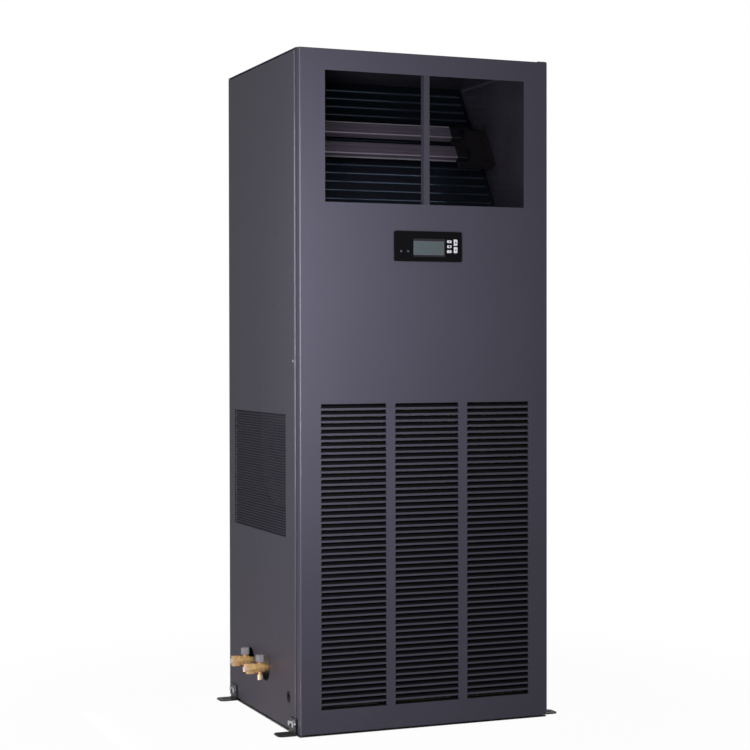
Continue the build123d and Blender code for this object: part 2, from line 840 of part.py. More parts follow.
# Blower wheels: forward-curved blades between two rings and a middle disc on a hub
with BuildSketch(Plane.XY) as blade:
    with BuildLine():
        JernArc((wheel_inner_radius, 0), (1, 0), wheel_blade_curve, wheel_blade_bend)
        offset(amount=wheel_blade_gauge, side=Side.LEFT)
    make_face()
for side, name in ((-1, "blower_wheel_left"), (1, "blower_wheel_right")):
    middle = Plane(origin=(side * blower_x, blower_y, blower_z), x_dir=(0, 1, 0), z_dir=(1, 0, 0))
    with BuildPart() as blower_wheel:
        with BuildSketch(middle):
            Circle(wheel_radius - wheel_ring)
            Circle(shaft_radius, mode=Mode.SUBTRACT)
        extrude(amount=wheel_disc / 2, both=True)
        with BuildSketch(middle):
            Circle(wheel_hub_radius)
            Circle(shaft_radius, mode=Mode.SUBTRACT)
        extrude(amount=wheel_hub_length / 2, both=True)
        with BuildSketch(middle):
            with PolarLocations(0, wheel_blades):
                add(blade.sketch)
        extrude(amount=wheel_width / 2 - wheel_ring / 2, both=True)
        for end in (-1, 1):
            with BuildSketch(middle.offset(end * wheel_width / 2)):
                Circle(wheel_radius)
                Circle(wheel_inner_radius - wheel_blade_gauge, mode=Mode.SUBTRACT)
            extrude(amount=-end * wheel_ring)
    blower_wheel.part.label = name
    export_step(blower_wheel.part, f"parts/{name}.step")

# Blower shaft: one shaft through the motor, with a wheel on each end
with BuildPart() as blower_shaft:
    with BuildSketch(at_x(0)):
        with Locations((blower_y, blower_z)):
            Circle(shaft_radius)
    extrude(amount=blower_x + wheel_hub_length, both=True)
    chamfer(edges().group_by(Axis.X)[0] + edges().group_by(Axis.X)[-1], length=1)
blower_shaft.part.label = "blower_shaft"
export_step(blower_shaft.part, "parts/blower_shaft.step")

# Blower motor: a ribbed barrel with stepped end bells, bored for the shaft
motor_axis = Plane(origin=(0, blower_y, blower_z), x_dir=(1, 0, 0), z_dir=(0, -1, 0))
with BuildPart() as blower_motor:
    with BuildSketch(motor_axis):
        with BuildLine():
            Polyline(
                (-motor_length / 2, shaft_radius + shaft_clearance),
                (-motor_length / 2, motor_boss_radius),
                (-motor_length / 2 + motor_boss, motor_boss_radius + motor_boss),
                (-motor_length / 2 + 2 * motor_boss, motor_radius),
                (motor_length / 2 - 2 * motor_boss, motor_radius),
                (motor_length / 2 - motor_boss, motor_boss_radius + motor_boss),
                (motor_length / 2, motor_boss_radius),
                (motor_length / 2, shaft_radius + shaft_clearance),
                close=True,
            )
        make_face()
    revolve(axis=Axis((0, blower_y, blower_z), (1, 0, 0)))
    with BuildSketch(at_x(0)):
        with Locations((blower_y, blower_z)):
            with PolarLocations(motor_radius, motor_rib_count):
                Rectangle(2 * motor_rib, motor_rib)
    extrude(amount=motor_rib_length / 2, both=True)
blower_motor.part.label = "blower_motor"
export_step(blower_motor.part, "parts/blower_motor.step")

# Motor cradle: a band round the motor, with two legs that hang it from the deck
cradle_radius = motor_radius + motor_rib + seat_gap
cradle_top = deck_z - seat_gap
with BuildPart() as motor_cradle:
    with BuildSketch(at_x(0)):
        with Locations((blower_y, blower_z)):
            Circle(cradle_radius + cradle_gauge)
        for side in (-1, 1):
            leg_y = blower_y + side * (cradle_radius + cradle_gauge / 2)
            with Locations((leg_y, (blower_z + cradle_top) / 2)):
                Rectangle(cradle_gauge, cradle_top - blower_z)
            with Locations((leg_y + side * cradle_foot / 2, cradle_top - cradle_gauge / 2)):
                Rectangle(cradle_foot, cradle_gauge)
        with Locations((blower_y, blower_z)):
            Circle(cradle_radius, mode=Mode.SUBTRACT)
    extrude(amount=cradle_length / 2, both=True)
motor_cradle.part.label = "motor_cradle"
export_step(motor_cradle.part, "parts/motor_cradle.step")


def on_coil(along, out):
    """Y and Z of a point that far up the coil's front face and that far out from it."""
    return (
        coil_low_y + along * coil_sine - out * coil_cosine,
        coil_low_z + along * coil_cosine + out * coil_sine,
    )


# Evaporator coil: the fin pack, grooved for the front row of tubes, with folded end plates and
# the two stubs that the pipes join
coil_half_width = liner_inner_x - seat_gap
with BuildPart() as evaporator_coil:
    with BuildSketch(coil_front):
        with Locations((0, coil_length / 2)):
            Rectangle(2 * coil_half_width, coil_length)
    extrude(amount=-coil_depth)
    with BuildSketch(at_x(-coil_half_width)):
        for tube in range(coil_tubes):
            with Locations(on_coil(coil_tube_start + tube * coil_tube_pitch, 0)):
                Circle(coil_tube_radius + coil_tube_gap)
    extrude(amount=2 * coil_half_width, mode=Mode.SUBTRACT)
    with BuildSketch(coil_front):
        with Locations((0, coil_length / 2)):
            with GridLocations(2 * coil_half_width - coil_end_flange, 0, 2, 1):
                Rectangle(coil_end_flange, coil_length)
    extrude(amount=coil_end_plate)
    with BuildSketch(at_z(coil_stub_bottom_z)):
        with Locations((suction_x, suction_y), (drier_x, riser_coil_y)):
            Circle(coil_stub_radius)
    extrude(amount=coil_stub_length)
evaporator_coil.part.label = "evaporator_coil"
export_step(evaporator_coil.part, "parts/evaporator_coil.step")

# Evaporator tubes: the front row, half sunk in the fin pack between the end plates' flanges
tube_half_length = coil_half_width - coil_end_flange - seat_gap
with BuildPart() as evaporator_tubes:
    with BuildSketch(at_x(0)):
        for tube in range(coil_tubes):
            with Locations(on_coil(coil_tube_start + tube * coil_tube_pitch, 0)):
                Circle(coil_tube_radius)
    extrude(amount=tube_half_length, both=True)
evaporator_tubes.part.label = "evaporator_tubes"
export_step(evaporator_tubes.part, "parts/evaporator_tubes.step")

# Plenum liners: insulating boards on the inside of the frame beside the coil, and on the inside of
# the top cover above it
liner_front_y = frame_front_y + top_rail_return + liner_gap
liner_rear_y = base_rear_y - liner_gap
liner_top_z = cover_bottom_z - cover_flange - seat_gap
ceiling_half_width = cover_flange_x - skin - seat_gap
ceiling_front_y = cover_flange_front_y + skin + seat_gap
ceiling_rear_y = cover_flange_y - skin - seat_gap
with BuildPart() as plenum_liners:
    with BuildSketch(at_z(liner_bottom_z)):
        with Locations((0, (liner_front_y + liner_rear_y) / 2)):
            with GridLocations(2 * liner_inner_x + liner_thickness, 0, 2, 1):
                Rectangle(liner_thickness, liner_rear_y - liner_front_y)
    extrude(amount=liner_top_z - liner_bottom_z)
    with BuildSketch(at_z(cover_bottom_z - seat_gap)):
        with Locations((0, (ceiling_front_y + ceiling_rear_y) / 2)):
            Rectangle(2 * ceiling_half_width, ceiling_rear_y - ceiling_front_y)
    extrude(amount=-ceiling_thickness)
plenum_liners.part.label = "plenum_liners"
export_step(plenum_liners.part, "parts/plenum_liners.step")

# Drain pan: a shallow tray under the coil's lower edge, with a spout
pan_half_width = liner_inner_x - seat_gap
pan_mid_y = (pan_front_y + pan_rear_y) / 2
with BuildPart() as drain_pan:
    with BuildSketch(at_z(pan_bottom_z)):
        with Locations((0, pan_mid_y)):
            Rectangle(2 * pan_half_width, pan_length)
    extrude(amount=pan_height)
    offset(amount=-pan_gauge, openings=faces().sort_by(Axis.Z)[-1])
    with BuildSketch(at_z(pan_bottom_z + pan_gauge)):
        with Locations((drain_x, pan_spout_y)):
            Circle(pan_spout_radius)
    extrude(amount=-pan_gauge - pan_spout_length)
    with BuildSketch(at_z(pan_bottom_z + pan_gauge)):
        with Locations((drain_x, pan_spout_y)):
            Circle(pan_spout_radius - pan_gauge)
    extrude(amount=-pan_gauge - pan_spout_length, mode=Mode.SUBTRACT)
drain_pan.part.label = "drain_pan"
export_step(drain_pan.part, "parts/drain_pan.step")


def tube_along(points, radius, bend):
    """A round bar swept along straight runs joined by tangent arcs."""
    with BuildPart() as tube:
        with BuildLine() as route:
            FilletPolyline(*points, radius=bend)
        with BuildSketch(Plane(origin=route.line @ 0, z_dir=route.line % 0)):
            Circle(radius)
        sweep(path=route.line)
    return tube.part


# Drain hose: from the spout down to the outlet hole in the left panel, where it ends flush with the
# panel's face, bored at both ends
drain_top_z = pan_bottom_z - seat_gap
with BuildPart() as drain_hose:
    add(
        tube_along(
            [
                (drain_x, pan_spout_y, drain_top_z),
                (drain_x, pan_spout_y, drain_shift_top_z),
                (drain_x, drain_y, drain_shift_bottom_z),
                (drain_x, drain_y, drain_z),
                (left_x, drain_y, drain_z),
            ],
            drain_hose_radius,
            drain_bend,
        )
    )
    with BuildSketch(at_z(drain_top_z)):
        with Locations((drain_x, pan_spout_y)):
            Circle(pan_spout_radius + seat_gap)
    extrude(amount=-pan_spout_length - seat_gap, mode=Mode.SUBTRACT)
    with BuildSketch(at_x(left_x)):
        with Locations((drain_y, drain_z)):
            Circle(drain_bore_radius)
    extrude(amount=drain_bore_depth, mode=Mode.SUBTRACT)
drain_hose.part.label = "drain_hose"
export_step(drain_hose.part, "parts/drain_hose.step")

# Reheat bars: two grooved extrusions in front of the coil
heater_alongs = (heater_upper_along, heater_lower_along)
with BuildPart() as heater_bars:
    for along in heater_alongs:
        heater_plane = Plane(
            origin=(heater_left_x, *on_coil(along, heater_offset)),
            x_dir=(0, coil_sine, coil_cosine),
            z_dir=(1, 0, 0),
        )
        with BuildSketch(heater_plane):
            RectangleRounded(heater_height, heater_thickness, heater_edge_radius)
            with GridLocations(heater_groove_pitch, heater_thickness, 2, 2):
                Rectangle(heater_groove, heater_groove, mode=Mode.SUBTRACT)
        extrude(amount=heater_right_x - heater_left_x)
heater_bars.part.label = "heater_bars"
export_step(heater_bars.part, "parts/heater_bars.step")

# Heater end caps: a moulded cap on each end of each bar
with BuildPart() as heater_end_caps:
    for along in heater_alongs:
        for end_x, length in ((heater_right_x, heater_cap_length), (heater_left_x, -heater_cap_length)):
            cap_plane = Plane(
                origin=(end_x, *on_coil(along, heater_offset)),
                x_dir=(0, coil_sine, coil_cosine),
                z_dir=(1, 0, 0),
            )
            with BuildSketch(cap_plane):
                RectangleRounded(
                    heater_height - heater_cap_inset,
                    heater_thickness - heater_cap_inset,
                    heater_edge_radius,
                )
            extrude(amount=length)
heater_end_caps.part.label = "heater_end_caps"
export_step(heater_end_caps.part, "parts/heater_end_caps.step")

# Heater brackets: a plate behind the caps at each end, folded forward at the bottom and back
# against the liner
bracket_out = heater_offset - heater_thickness / 2 + heater_cap_inset / 2 - seat_gap
bracket_outer_x = liner_inner_x - seat_gap
bracket_ends = ((1, heater_right_x + heater_cap_overlap), (-1, heater_cap_overlap - heater_left_x))
with BuildPart() as heater_brackets:
    for side, inner_x in bracket_ends:
        middle_x = side * (inner_x + bracket_outer_x) / 2
        middle_along = (heater_bracket_start + heater_bracket_end) / 2
        with BuildSketch(coil_front.offset(bracket_out)):
            with Locations((middle_x, middle_along)):
                Rectangle(bracket_outer_x - inner_x, heater_bracket_end - heater_bracket_start)
        extrude(amount=-heater_bracket_gauge)
        with BuildSketch(coil_front.offset(bracket_out)):
            with Locations((middle_x, heater_bracket_start + heater_bracket_gauge / 2)):
                Rectangle(bracket_outer_x - inner_x, heater_bracket_gauge)
        extrude(amount=heater_bracket_flange)
        with BuildSketch(coil_front.offset(bracket_out)):
            with Locations((side * (bracket_outer_x - heater_bracket_gauge / 2), middle_along)):
                Rectangle(heater_bracket_gauge, heater_bracket_end - heater_bracket_start)
        extrude(amount=heater_bracket_flange)
heater_brackets.part.label = "heater_brackets"
export_step(heater_brackets.part, "parts/heater_brackets.step")

# Compressor: a hermetic shell on a square foot, with its accumulator strapped beside it
foot_bottom_z = base_gauge + base_runner_height + grommet_height + seat_gap
shell_bottom_z = foot_bottom_z + compressor_foot_gauge
shell_top_z = shell_bottom_z + compressor_height
accumulator_x = compressor_x + accumulator_offset
accumulator_top_z = accumulator_bottom_z + accumulator_height
compressor_front = Plane(origin=(compressor_x, compressor_y, 0), x_dir=(1, 0, 0), z_dir=(0, -1, 0))
accumulator_front = Plane(origin=(accumulator_x, compressor_y, 0), x_dir=(1, 0, 0), z_dir=(0, -1, 0))
with BuildPart() as compressor:
    with BuildSketch(compressor_front):
        with BuildLine():
            floor_line = Line((0, shell_bottom_z), (compressor_radius - compressor_dome, shell_bottom_z))
            low_turn = JernArc(floor_line @ 1, (1, 0), compressor_dome, 90)
            seam_line = Line(low_turn @ 1, (compressor_radius, shell_top_z - compressor_seam_drop))
            seam_step = Line(seam_line @ 1, (compressor_radius - compressor_seam, (seam_line @ 1).Y))
            high_line = Line(seam_step @ 1, ((seam_step @ 1).X, shell_top_z - compressor_dome))
            high_turn = JernArc(high_line @ 1, (0, 1), compressor_dome, 90)
            Line(high_turn @ 1, (0, shell_top_z))
            Line((0, shell_top_z), (0, shell_bottom_z))
        make_face()
    revolve(axis=Axis((compressor_x, compressor_y, 0), (0, 0, 1)))
    with BuildSketch(at_z(foot_bottom_z)):
        with Locations((compressor_x, compressor_y)):
            RectangleRounded(
                2 * (foot_bolt_spread + compressor_foot_margin),
                2 * (foot_bolt_spread + compressor_foot_margin),
                compressor_foot_margin,
            )
    extrude(amount=compressor_foot_gauge)
    with BuildSketch(accumulator_front):
        with BuildLine():
            base_line = Line((0, accumulator_bottom_z), (accumulator_radius / 2, accumulator_bottom_z))
            low_round = JernArc(base_line @ 1, (1, 0), accumulator_radius / 2, 90)
            wall = Line(low_round @ 1, (accumulator_radius, accumulator_top_z - accumulator_radius / 2))
            top_round = JernArc(wall @ 1, (0, 1), accumulator_radius / 2, 90)
            Line(top_round @ 1, (0, accumulator_top_z))
            Line((0, accumulator_top_z), (0, accumulator_bottom_z))
        make_face()
    revolve(axis=Axis((accumulator_x, compressor_y, 0), (0, 0, 1)))
    with BuildSketch(at_z(accumulator_strap_z)):
        with Locations((compressor_x + accumulator_offset / 2, compressor_y)):
            Rectangle(accumulator_offset - accumulator_radius, accumulator_strap_width)
    extrude(amount=accumulator_strap_height)
    add(
        tube_along(
            [
                (accumulator_x, compressor_y, accumulator_bottom_z + accumulator_radius / 2),
                (accumulator_x, compressor_y, accumulator_elbow_z),
                (compressor_x, compressor_y, accumulator_elbow_z),
            ],
            gas_pipe_radius,
            pipe_bend,
        )
    )
compressor.part.label = "compressor"
export_step(compressor.part, "parts/compressor.step")

# Compressor grommets: waisted rubber feet between the runners and the foot
with BuildPart() as compressor_grommets:
    with BuildSketch(compressor_front):
        with BuildLine():
            Polyline(
                (0, foot_bottom_z - seat_gap),
                (grommet_radius, foot_bottom_z - seat_gap),
                (grommet_waist, foot_bottom_z - seat_gap - grommet_height / 2),
                (grommet_radius, foot_bottom_z - seat_gap - grommet_height),
                (0, foot_bottom_z - seat_gap - grommet_height),
                close=True,
            )
        make_face()
    grommet = revolve(axis=Axis((compressor_x, compressor_y, 0), (0, 0, 1)), mode=Mode.PRIVATE)
    with GridLocations(2 * foot_bolt_spread, 2 * foot_bolt_spread, 2, 2):
        add(grommet)
compressor_grommets.part.label = "compressor_grommets"
export_step(compressor_grommets.part, "parts/compressor_grommets.step")

# Filter drier: a capsule in the liquid line
drier_top_z = drier_bottom_z + drier_length
drier_front = Plane(origin=(drier_x, drier_y, 0), x_dir=(1, 0, 0), z_dir=(0, -1, 0))
with BuildPart() as filter_drier:
    with BuildSketch(drier_front):
        with BuildLine():
            Polyline(
                (0, drier_bottom_z),
                (drier_neck_radius, drier_bottom_z),
                (drier_neck_radius, drier_bottom_z + drier_neck),
                (drier_radius, drier_bottom_z + 2 * drier_neck),
                (drier_radius, drier_top_z - 2 * drier_neck),
                (drier_neck_radius, drier_top_z - drier_neck),
                (drier_neck_radius, drier_top_z),
                (0, drier_top_z),
                close=True,
            )
        make_face()
    revolve(axis=Axis((drier_x, drier_y, 0), (0, 0, 1)))
filter_drier.part.label = "filter_drier"
export_step(filter_drier.part, "parts/filter_drier.step")

# Refrigerant pipes: discharge to the gas valve, liquid to the drier and on up to the coil, and
# suction from the coil to the accumulator
valve_inner_x = left_x - valve_out + valve_barrel_length + seat_gap
discharge_turn_z = shell_top_z + discharge_rise
suction_turn_z = accumulator_top_z + suction_rise
discharge_route = [
    (compressor_x, compressor_y, shell_top_z + seat_gap),
    (compressor_x, compressor_y, discharge_turn_z),
    (discharge_x, compressor_y, discharge_turn_z),
    (discharge_x, gas_valve_y, valve_z),
    (valve_inner_x, gas_valve_y, valve_z),
]
drier_route = [
    (valve_inner_x, liquid_valve_y, valve_z),
    (drier_x, liquid_valve_y, valve_z),
    (drier_x, drier_y, valve_z),
    (drier_x, drier_y, drier_bottom_z - seat_gap),
]
riser_route = [
    (drier_x, drier_y, drier_top_z + seat_gap),
    (drier_x, drier_y, riser_turn_z),
    (drier_x, riser_coil_y, riser_turn_z),
    (drier_x, riser_coil_y, coil_stub_bottom_z - seat_gap),
]
suction_route = [
    (suction_x, suction_y, coil_stub_bottom_z - seat_gap),
    (suction_x, suction_y, suction_turn_z),
    (accumulator_x, compressor_y, suction_turn_z),
    (accumulator_x, compressor_y, accumulator_top_z + seat_gap),
]
with BuildPart() as discharge_pipe:
    add(tube_along(discharge_route, gas_pipe_radius, pipe_bend))
discharge_pipe.part.label = "discharge_pipe"
export_step(discharge_pipe.part, "parts/discharge_pipe.step")
with BuildPart() as liquid_pipes:
    add(tube_along(drier_route, liquid_pipe_radius, pipe_bend))
    add(tube_along(riser_route, liquid_pipe_radius, pipe_bend))
liquid_pipes.part.label = "liquid_pipes"
export_step(liquid_pipes.part, "parts/liquid_pipes.step")
with BuildPart() as suction_pipe:
    add(tube_along(suction_route, gas_pipe_radius, pipe_bend))
suction_pipe.part.label = "suction_pipe"
export_step(suction_pipe.part, "parts/suction_pipe.step")


def service_valve(valve_y):
    """A valve's turned body with a barrel inwards, a thread outwards, a stem neck and a port."""
    with BuildPart() as valve:
        with BuildSketch(at_x(valve_x - valve_body_length / 2)):
            with Locations((valve_y, valve_z)):
                Circle(valve_body_radius)
        extrude(amount=valve_body_length)
        chamfer(edges().filter_by(GeomType.CIRCLE), length=valve_chamfer)
        with BuildSketch(at_x(valve_x)):
            with Locations((valve_y, valve_z)):
                Circle(valve_barrel_radius)
        extrude(amount=valve_barrel_length)
        with BuildSketch(at_x(valve_plate_x - seat_gap)):
            with Locations((valve_y, valve_z)):
                RegularPolygon(valve_collar_radius, 6)
        extrude(amount=-valve_collar_length)
        with BuildSketch(at_x(valve_x)):
            with Locations((valve_y, valve_z)):
                Circle(valve_thread_radius)
        extrude(amount=-valve_body_length / 2 - valve_thread_length)
        with BuildSketch(at_z(valve_z)):
            with Locations((valve_x, valve_y)):
                Circle(valve_neck_radius)
        extrude(amount=valve_stem_reach)
        with BuildSketch(at_z(valve_z)):
            with Locations((valve_x, valve_y)):
                Circle(valve_port_radius)
        extrude(amount=-valve_port_reach)
    return valve.part


# Service valves: one for the gas line and one for the liquid line
valve_x = left_x - valve_out
with BuildPart() as service_valves:
    add(service_valve(gas_valve_y))
    add(service_valve(liquid_valve_y))
service_valves.part.label = "service_valves"
export_step(service_valves.part, "parts/service_valves.step")

# Valve caps and nuts: a hexagon cap on each stem, a round cap on each port, and a flare nut with
# a shipping plug on each thread
with BuildPart() as stem_caps:
    with BuildSketch(at_z(valve_z + stem_cap_start)):
        with Locations((valve_x, gas_valve_y), (valve_x, liquid_valve_y)):
            RegularPolygon(stem_cap_across / 2, 6, major_radius=False)
    extrude(amount=stem_cap_height)
    with BuildSketch(at_z(valve_z + stem_cap_start)):
        with Locations((valve_x, gas_valve_y), (valve_x, liquid_valve_y)):
            Circle(valve_neck_radius + seat_gap)
    extrude(amount=valve_stem_reach - stem_cap_start + seat_gap, mode=Mode.SUBTRACT)
stem_caps.part.label = "stem_caps"
export_step(stem_caps.part, "parts/stem_caps.step")
with BuildPart() as port_caps:
    with BuildSketch(at_z(valve_z - port_cap_start)):
        with Locations((valve_x, gas_valve_y), (valve_x, liquid_valve_y)):
            Circle(port_cap_radius)
    extrude(amount=-port_cap_height)
    with BuildSketch(at_z(valve_z - port_cap_start)):
        with Locations((valve_x, gas_valve_y), (valve_x, liquid_valve_y)):
            Circle(valve_port_radius + seat_gap)
    extrude(amount=-(valve_port_reach - port_cap_start + seat_gap), mode=Mode.SUBTRACT)
port_caps.part.label = "port_caps"
export_step(port_caps.part, "parts/port_caps.step")
thread_end_x = valve_x - valve_body_length / 2 - valve_thread_length
with BuildPart() as flare_nuts:
    with BuildSketch(at_x(valve_x - flare_nut_start)):
        with Locations((gas_valve_y, valve_z), (liquid_valve_y, valve_z)):
            RegularPolygon(flare_nut_across / 2, 6, major_radius=False)
            Circle(valve_thread_radius + seat_gap, mode=Mode.SUBTRACT)
    extrude(amount=-flare_nut_length)
flare_nuts.part.label = "flare_nuts"
export_step(flare_nuts.part, "parts/flare_nuts.step")
with BuildPart() as flare_plugs:
    with BuildSketch(at_x(thread_end_x - seat_gap)):
        with Locations((gas_valve_y, valve_z), (liquid_valve_y, valve_z)):
            Circle(flare_plug_radius)
    extrude(amount=-flare_plug_length)
flare_plugs.part.label = "flare_plugs"
export_step(flare_plugs.part, "parts/flare_plugs.step")

# Valve plate: an angle on the base pan's lip that carries both valves
valve_plate_length = gas_valve_y - liquid_valve_y + 2 * valve_plate_margin
valve_plate_mid_y = (gas_valve_y + liquid_valve_y) / 2
valve_plate_height = valve_z + valve_plate_top - base_height
with BuildPart() as valve_plate:
    with BuildSketch(at_x(valve_plate_x)):
        with Locations((valve_plate_mid_y, base_height + valve_plate_height / 2)):
            Rectangle(valve_plate_length, valve_plate_height)
        with Locations((gas_valve_y, valve_z), (liquid_valve_y, valve_z)):
            Circle(valve_barrel_radius + seat_gap, mode=Mode.SUBTRACT)
    extrude(amount=valve_plate_gauge)
    with BuildSketch(at_z(base_height)):
        with Locations((valve_plate_x + valve_plate_foot / 2, valve_plate_mid_y)):
            Rectangle(valve_plate_foot, valve_plate_length)
    extrude(amount=valve_plate_gauge)
valve_plate.part.label = "valve_plate"
export_step(valve_plate.part, "parts/valve_plate.step")

# Electrical box: an open-fronted case on the deck, with a rail across its back
box_mid_z = box_bottom_z + box_height / 2
box_inner_y = box_rear_y - box_gauge
with BuildPart() as electrical_box:
    with BuildSketch(at_y(box_rear_y)):
        with Locations((box_x, box_mid_z)):
            Rectangle(box_width, box_height)
    extrude(amount=box_depth)
    offset(amount=-box_gauge, openings=faces().sort_by(Axis.Y)[0])
    with BuildSketch(at_y(box_rear_y - box_depth)):
        with Locations((box_x, box_mid_z)):
            Rectangle(box_width, box_height)
            Rectangle(box_width - 2 * box_lip, box_height - 2 * box_lip, mode=Mode.SUBTRACT)
    extrude(amount=-box_gauge)
    with BuildSketch(at_y(box_inner_y)):
        with Locations((box_x, contactor_z)):
            Rectangle(box_width - 4 * box_lip, din_rail_width)
    extrude(amount=din_rail_depth)
electrical_box.part.label = "electrical_box"
export_step(electrical_box.part, "parts/electrical_box.step")

# Contactors: a row on the rail, each with a lower front step for its terminals
contactor_y = box_inner_y - din_rail_depth - seat_gap
contactor_mid_x = box_x - box_width / 2 + contactor_from_edge + contactor_pitch
with BuildPart() as contactors:
    with BuildSketch(at_y(contactor_y)):
        with Locations((contactor_mid_x, contactor_z)):
            with GridLocations(contactor_pitch, 0, contactor_count, 1):
                Rectangle(contactor_width, contactor_height)
    extrude(amount=contactor_depth - contactor_step)
    with BuildSketch(at_y(contactor_y - contactor_depth + contactor_step)):
        with Locations((contactor_mid_x, contactor_z)):
            with GridLocations(contactor_pitch, 0, contactor_count, 1):
                Rectangle(contactor_width, contactor_height - 2 * contactor_step)
    extrude(amount=contactor_step)
contactors.part.label = "contactors"
export_step(contactors.part, "parts/contactors.step")

# Isolator: the main switch's body, with a socket for its turning handle
isolator_front_y = box_inner_y - isolator_depth
with BuildPart() as isolator_switch:
    with BuildSketch(at_y(box_inner_y)):
        with Locations((isolator_x, isolator_z)):
            Rectangle(isolator_width, isolator_height)
    extrude(amount=isolator_depth)
    fillet(faces().sort_by(Axis.Y)[0].edges(), radius=isolator_edge)
    with BuildSketch(at_y(isolator_front_y)):
        with Locations((isolator_x, isolator_z)):
            Circle(handle_stub_radius + shaft_clearance)
    extrude(amount=-handle_stub_length - seat_gap, mode=Mode.SUBTRACT)
isolator_switch.part.label = "isolator_switch"
export_step(isolator_switch.part, "parts/isolator_switch.step")
with BuildPart() as isolator_handle:
    with BuildSketch(at_y(isolator_front_y - seat_gap)):
        with Locations((isolator_x, isolator_z)):
            Circle(handle_radius)
    extrude(amount=handle_disc)
    with BuildSketch(at_y(isolator_front_y - seat_gap - handle_disc)):
        with Locations((isolator_x, isolator_z)):
            RectangleRounded(handle_grip_width, handle_grip_length, handle_grip_width / 2.2)
    extrude(amount=handle_grip_height)
    with BuildSketch(at_y(isolator_front_y - seat_gap)):
        with Locations((isolator_x, isolator_z)):
            Circle(handle_stub_radius)
    extrude(amount=-handle_stub_length)
isolator_handle.part.label = "isolator_handle"
export_step(isolator_handle.part, "parts/isolator_handle.step")

# Air filter: a rectangular frame in the two channels, round a pleated sheet
filter_mid_z = (filter_bottom_z + filter_top_z) / 2
filter_mid_y = filter_front_y + filter_thickness / 2
with BuildPart() as filter_frame:
    with BuildSketch(at_y(filter_front_y)):
        with Locations((0, filter_mid_z)):
            Rectangle(filter_width, filter_height)
            Rectangle(filter_width - 2 * filter_rim, filter_height - 2 * filter_rim, mode=Mode.SUBTRACT)
    extrude(amount=-filter_thickness)
filter_frame.part.label = "filter_frame"
export_step(filter_frame.part, "parts/filter_frame.step")
media_half_width = filter_width / 2 - filter_rim - seat_gap - filter_gauge
pleats = int(2 * media_half_width // filter_pleat)
pleat_half = media_half_width / pleats
pleat_depth = filter_thickness / 2 - 2 * filter_gauge
pleat_line = [
    (-media_half_width + step * pleat_half, filter_mid_y + (pleat_depth if step % 2 else -pleat_depth))
    for step in range(2 * pleats + 1)
]
media_height = filter_height - 2 * filter_rim - 2 * seat_gap
with BuildPart() as filter_media:
    with BuildSketch(at_z(filter_mid_z - media_height / 2)):
        with BuildLine():
            Polyline(*pleat_line)
            offset(amount=filter_gauge, side=Side.LEFT)
        make_face()
    extrude(amount=media_height)
filter_media.part.label = "filter_media"
export_step(filter_media.part, "parts/filter_media.step")

# Door: a full-height tray with a back lip, cut for the window, the louvres and the display
louvre_height = (louvre_slots - 1) * louvre_pitch + louvre_slot_height
louvre_mid_z = louvre_top_z - louvre_height / 2
louvre_frame_width = louvre_width + 2 * louvre_gauge
louvre_frame_height = louvre_height + 2 * louvre_gauge
window_mid_z = (window_bottom_z + window_top_z) / 2
window_height = window_top_z - window_bottom_z
display_body_width = display_width - 2 * display_body_inset
display_body_height = display_height - 2 * display_body_inset
flange_hole_radius = hinge_pin_radius + hinge_flange_clearance
with BuildPart() as door_panel:
    with BuildSketch(at_y(front_y)):
        with Locations((0, door_mid_z)):
            Rectangle(cabinet_width, door_height)
    extrude(amount=-door_tray_depth)
    fillet(faces().sort_by(Axis.Y)[0].edges(), radius=bend_radius)
    offset(amount=-skin, openings=faces().sort_by(Axis.Y)[-1])
    with BuildSketch(at_y(door_back_y)):
        with Locations((0, door_mid_z)):
            Rectangle(cabinet_width, door_height)
            Rectangle(
                cabinet_width - 2 * (skin + door_lip), door_height - 2 * (skin + door_lip), mode=Mode.SUBTRACT
            )
    extrude(amount=skin)
    with BuildSketch(at_y(front_y)):
        with Locations((0, window_mid_z)):
            Rectangle(window_width, window_height)
        with Locations((0, louvre_mid_z)):
            with GridLocations(louvre_column_pitch, 0, louvre_columns, 1):
                Rectangle(louvre_frame_width, louvre_frame_height)
        with Locations((display_x, display_z)):
            Rectangle(display_body_width + 2 * seat_gap, display_body_height + 2 * seat_gap)
    extrude(amount=-2 * skin, mode=Mode.SUBTRACT)
    with BuildSketch(at_z(0)):
        with Locations((hinge_x, hinge_y)):
            Circle(flange_hole_radius)
    extrude(amount=cabinet_height, mode=Mode.SUBTRACT)
door_panel.part.label = "door_panel"
export_step(door_panel.part, "parts/door_panel.step")

# Louvre inserts: forty-eight blades in a frame, their lips flush with the door's face and their
# webs rising behind them
with BuildSketch() as blade_section:
    with BuildLine():
        Polyline((0, -louvre_lip), (0, 0), (louvre_web_depth, louvre_web_rise))
        offset(amount=louvre_gauge, side=Side.RIGHT)
    make_face()
blade_heights = [
    louvre_top_z - louvre_slot_height - blade_step * louvre_pitch for blade_step in range(louvre_slots - 1)
]
with BuildPart() as louvre_inserts:
    for column in range(louvre_columns):
        column_x = (column - (louvre_columns - 1) / 2) * louvre_column_pitch
        with BuildSketch(at_y(front_y)):
            with Locations((column_x, louvre_mid_z)):
                Rectangle(louvre_frame_width, louvre_frame_height)
                Rectangle(louvre_width, louvre_height, mode=Mode.SUBTRACT)
        extrude(amount=-louvre_frame_depth)
        with BuildSketch(at_x(column_x - louvre_width / 2)):
            with Locations(*[(front_y, blade_z) for blade_z in blade_heights]):
                add(blade_section.sketch)
        extrude(amount=louvre_width)
louvre_inserts.part.label = "louvre_inserts"
export_step(louvre_inserts.part, "parts/louvre_inserts.step")

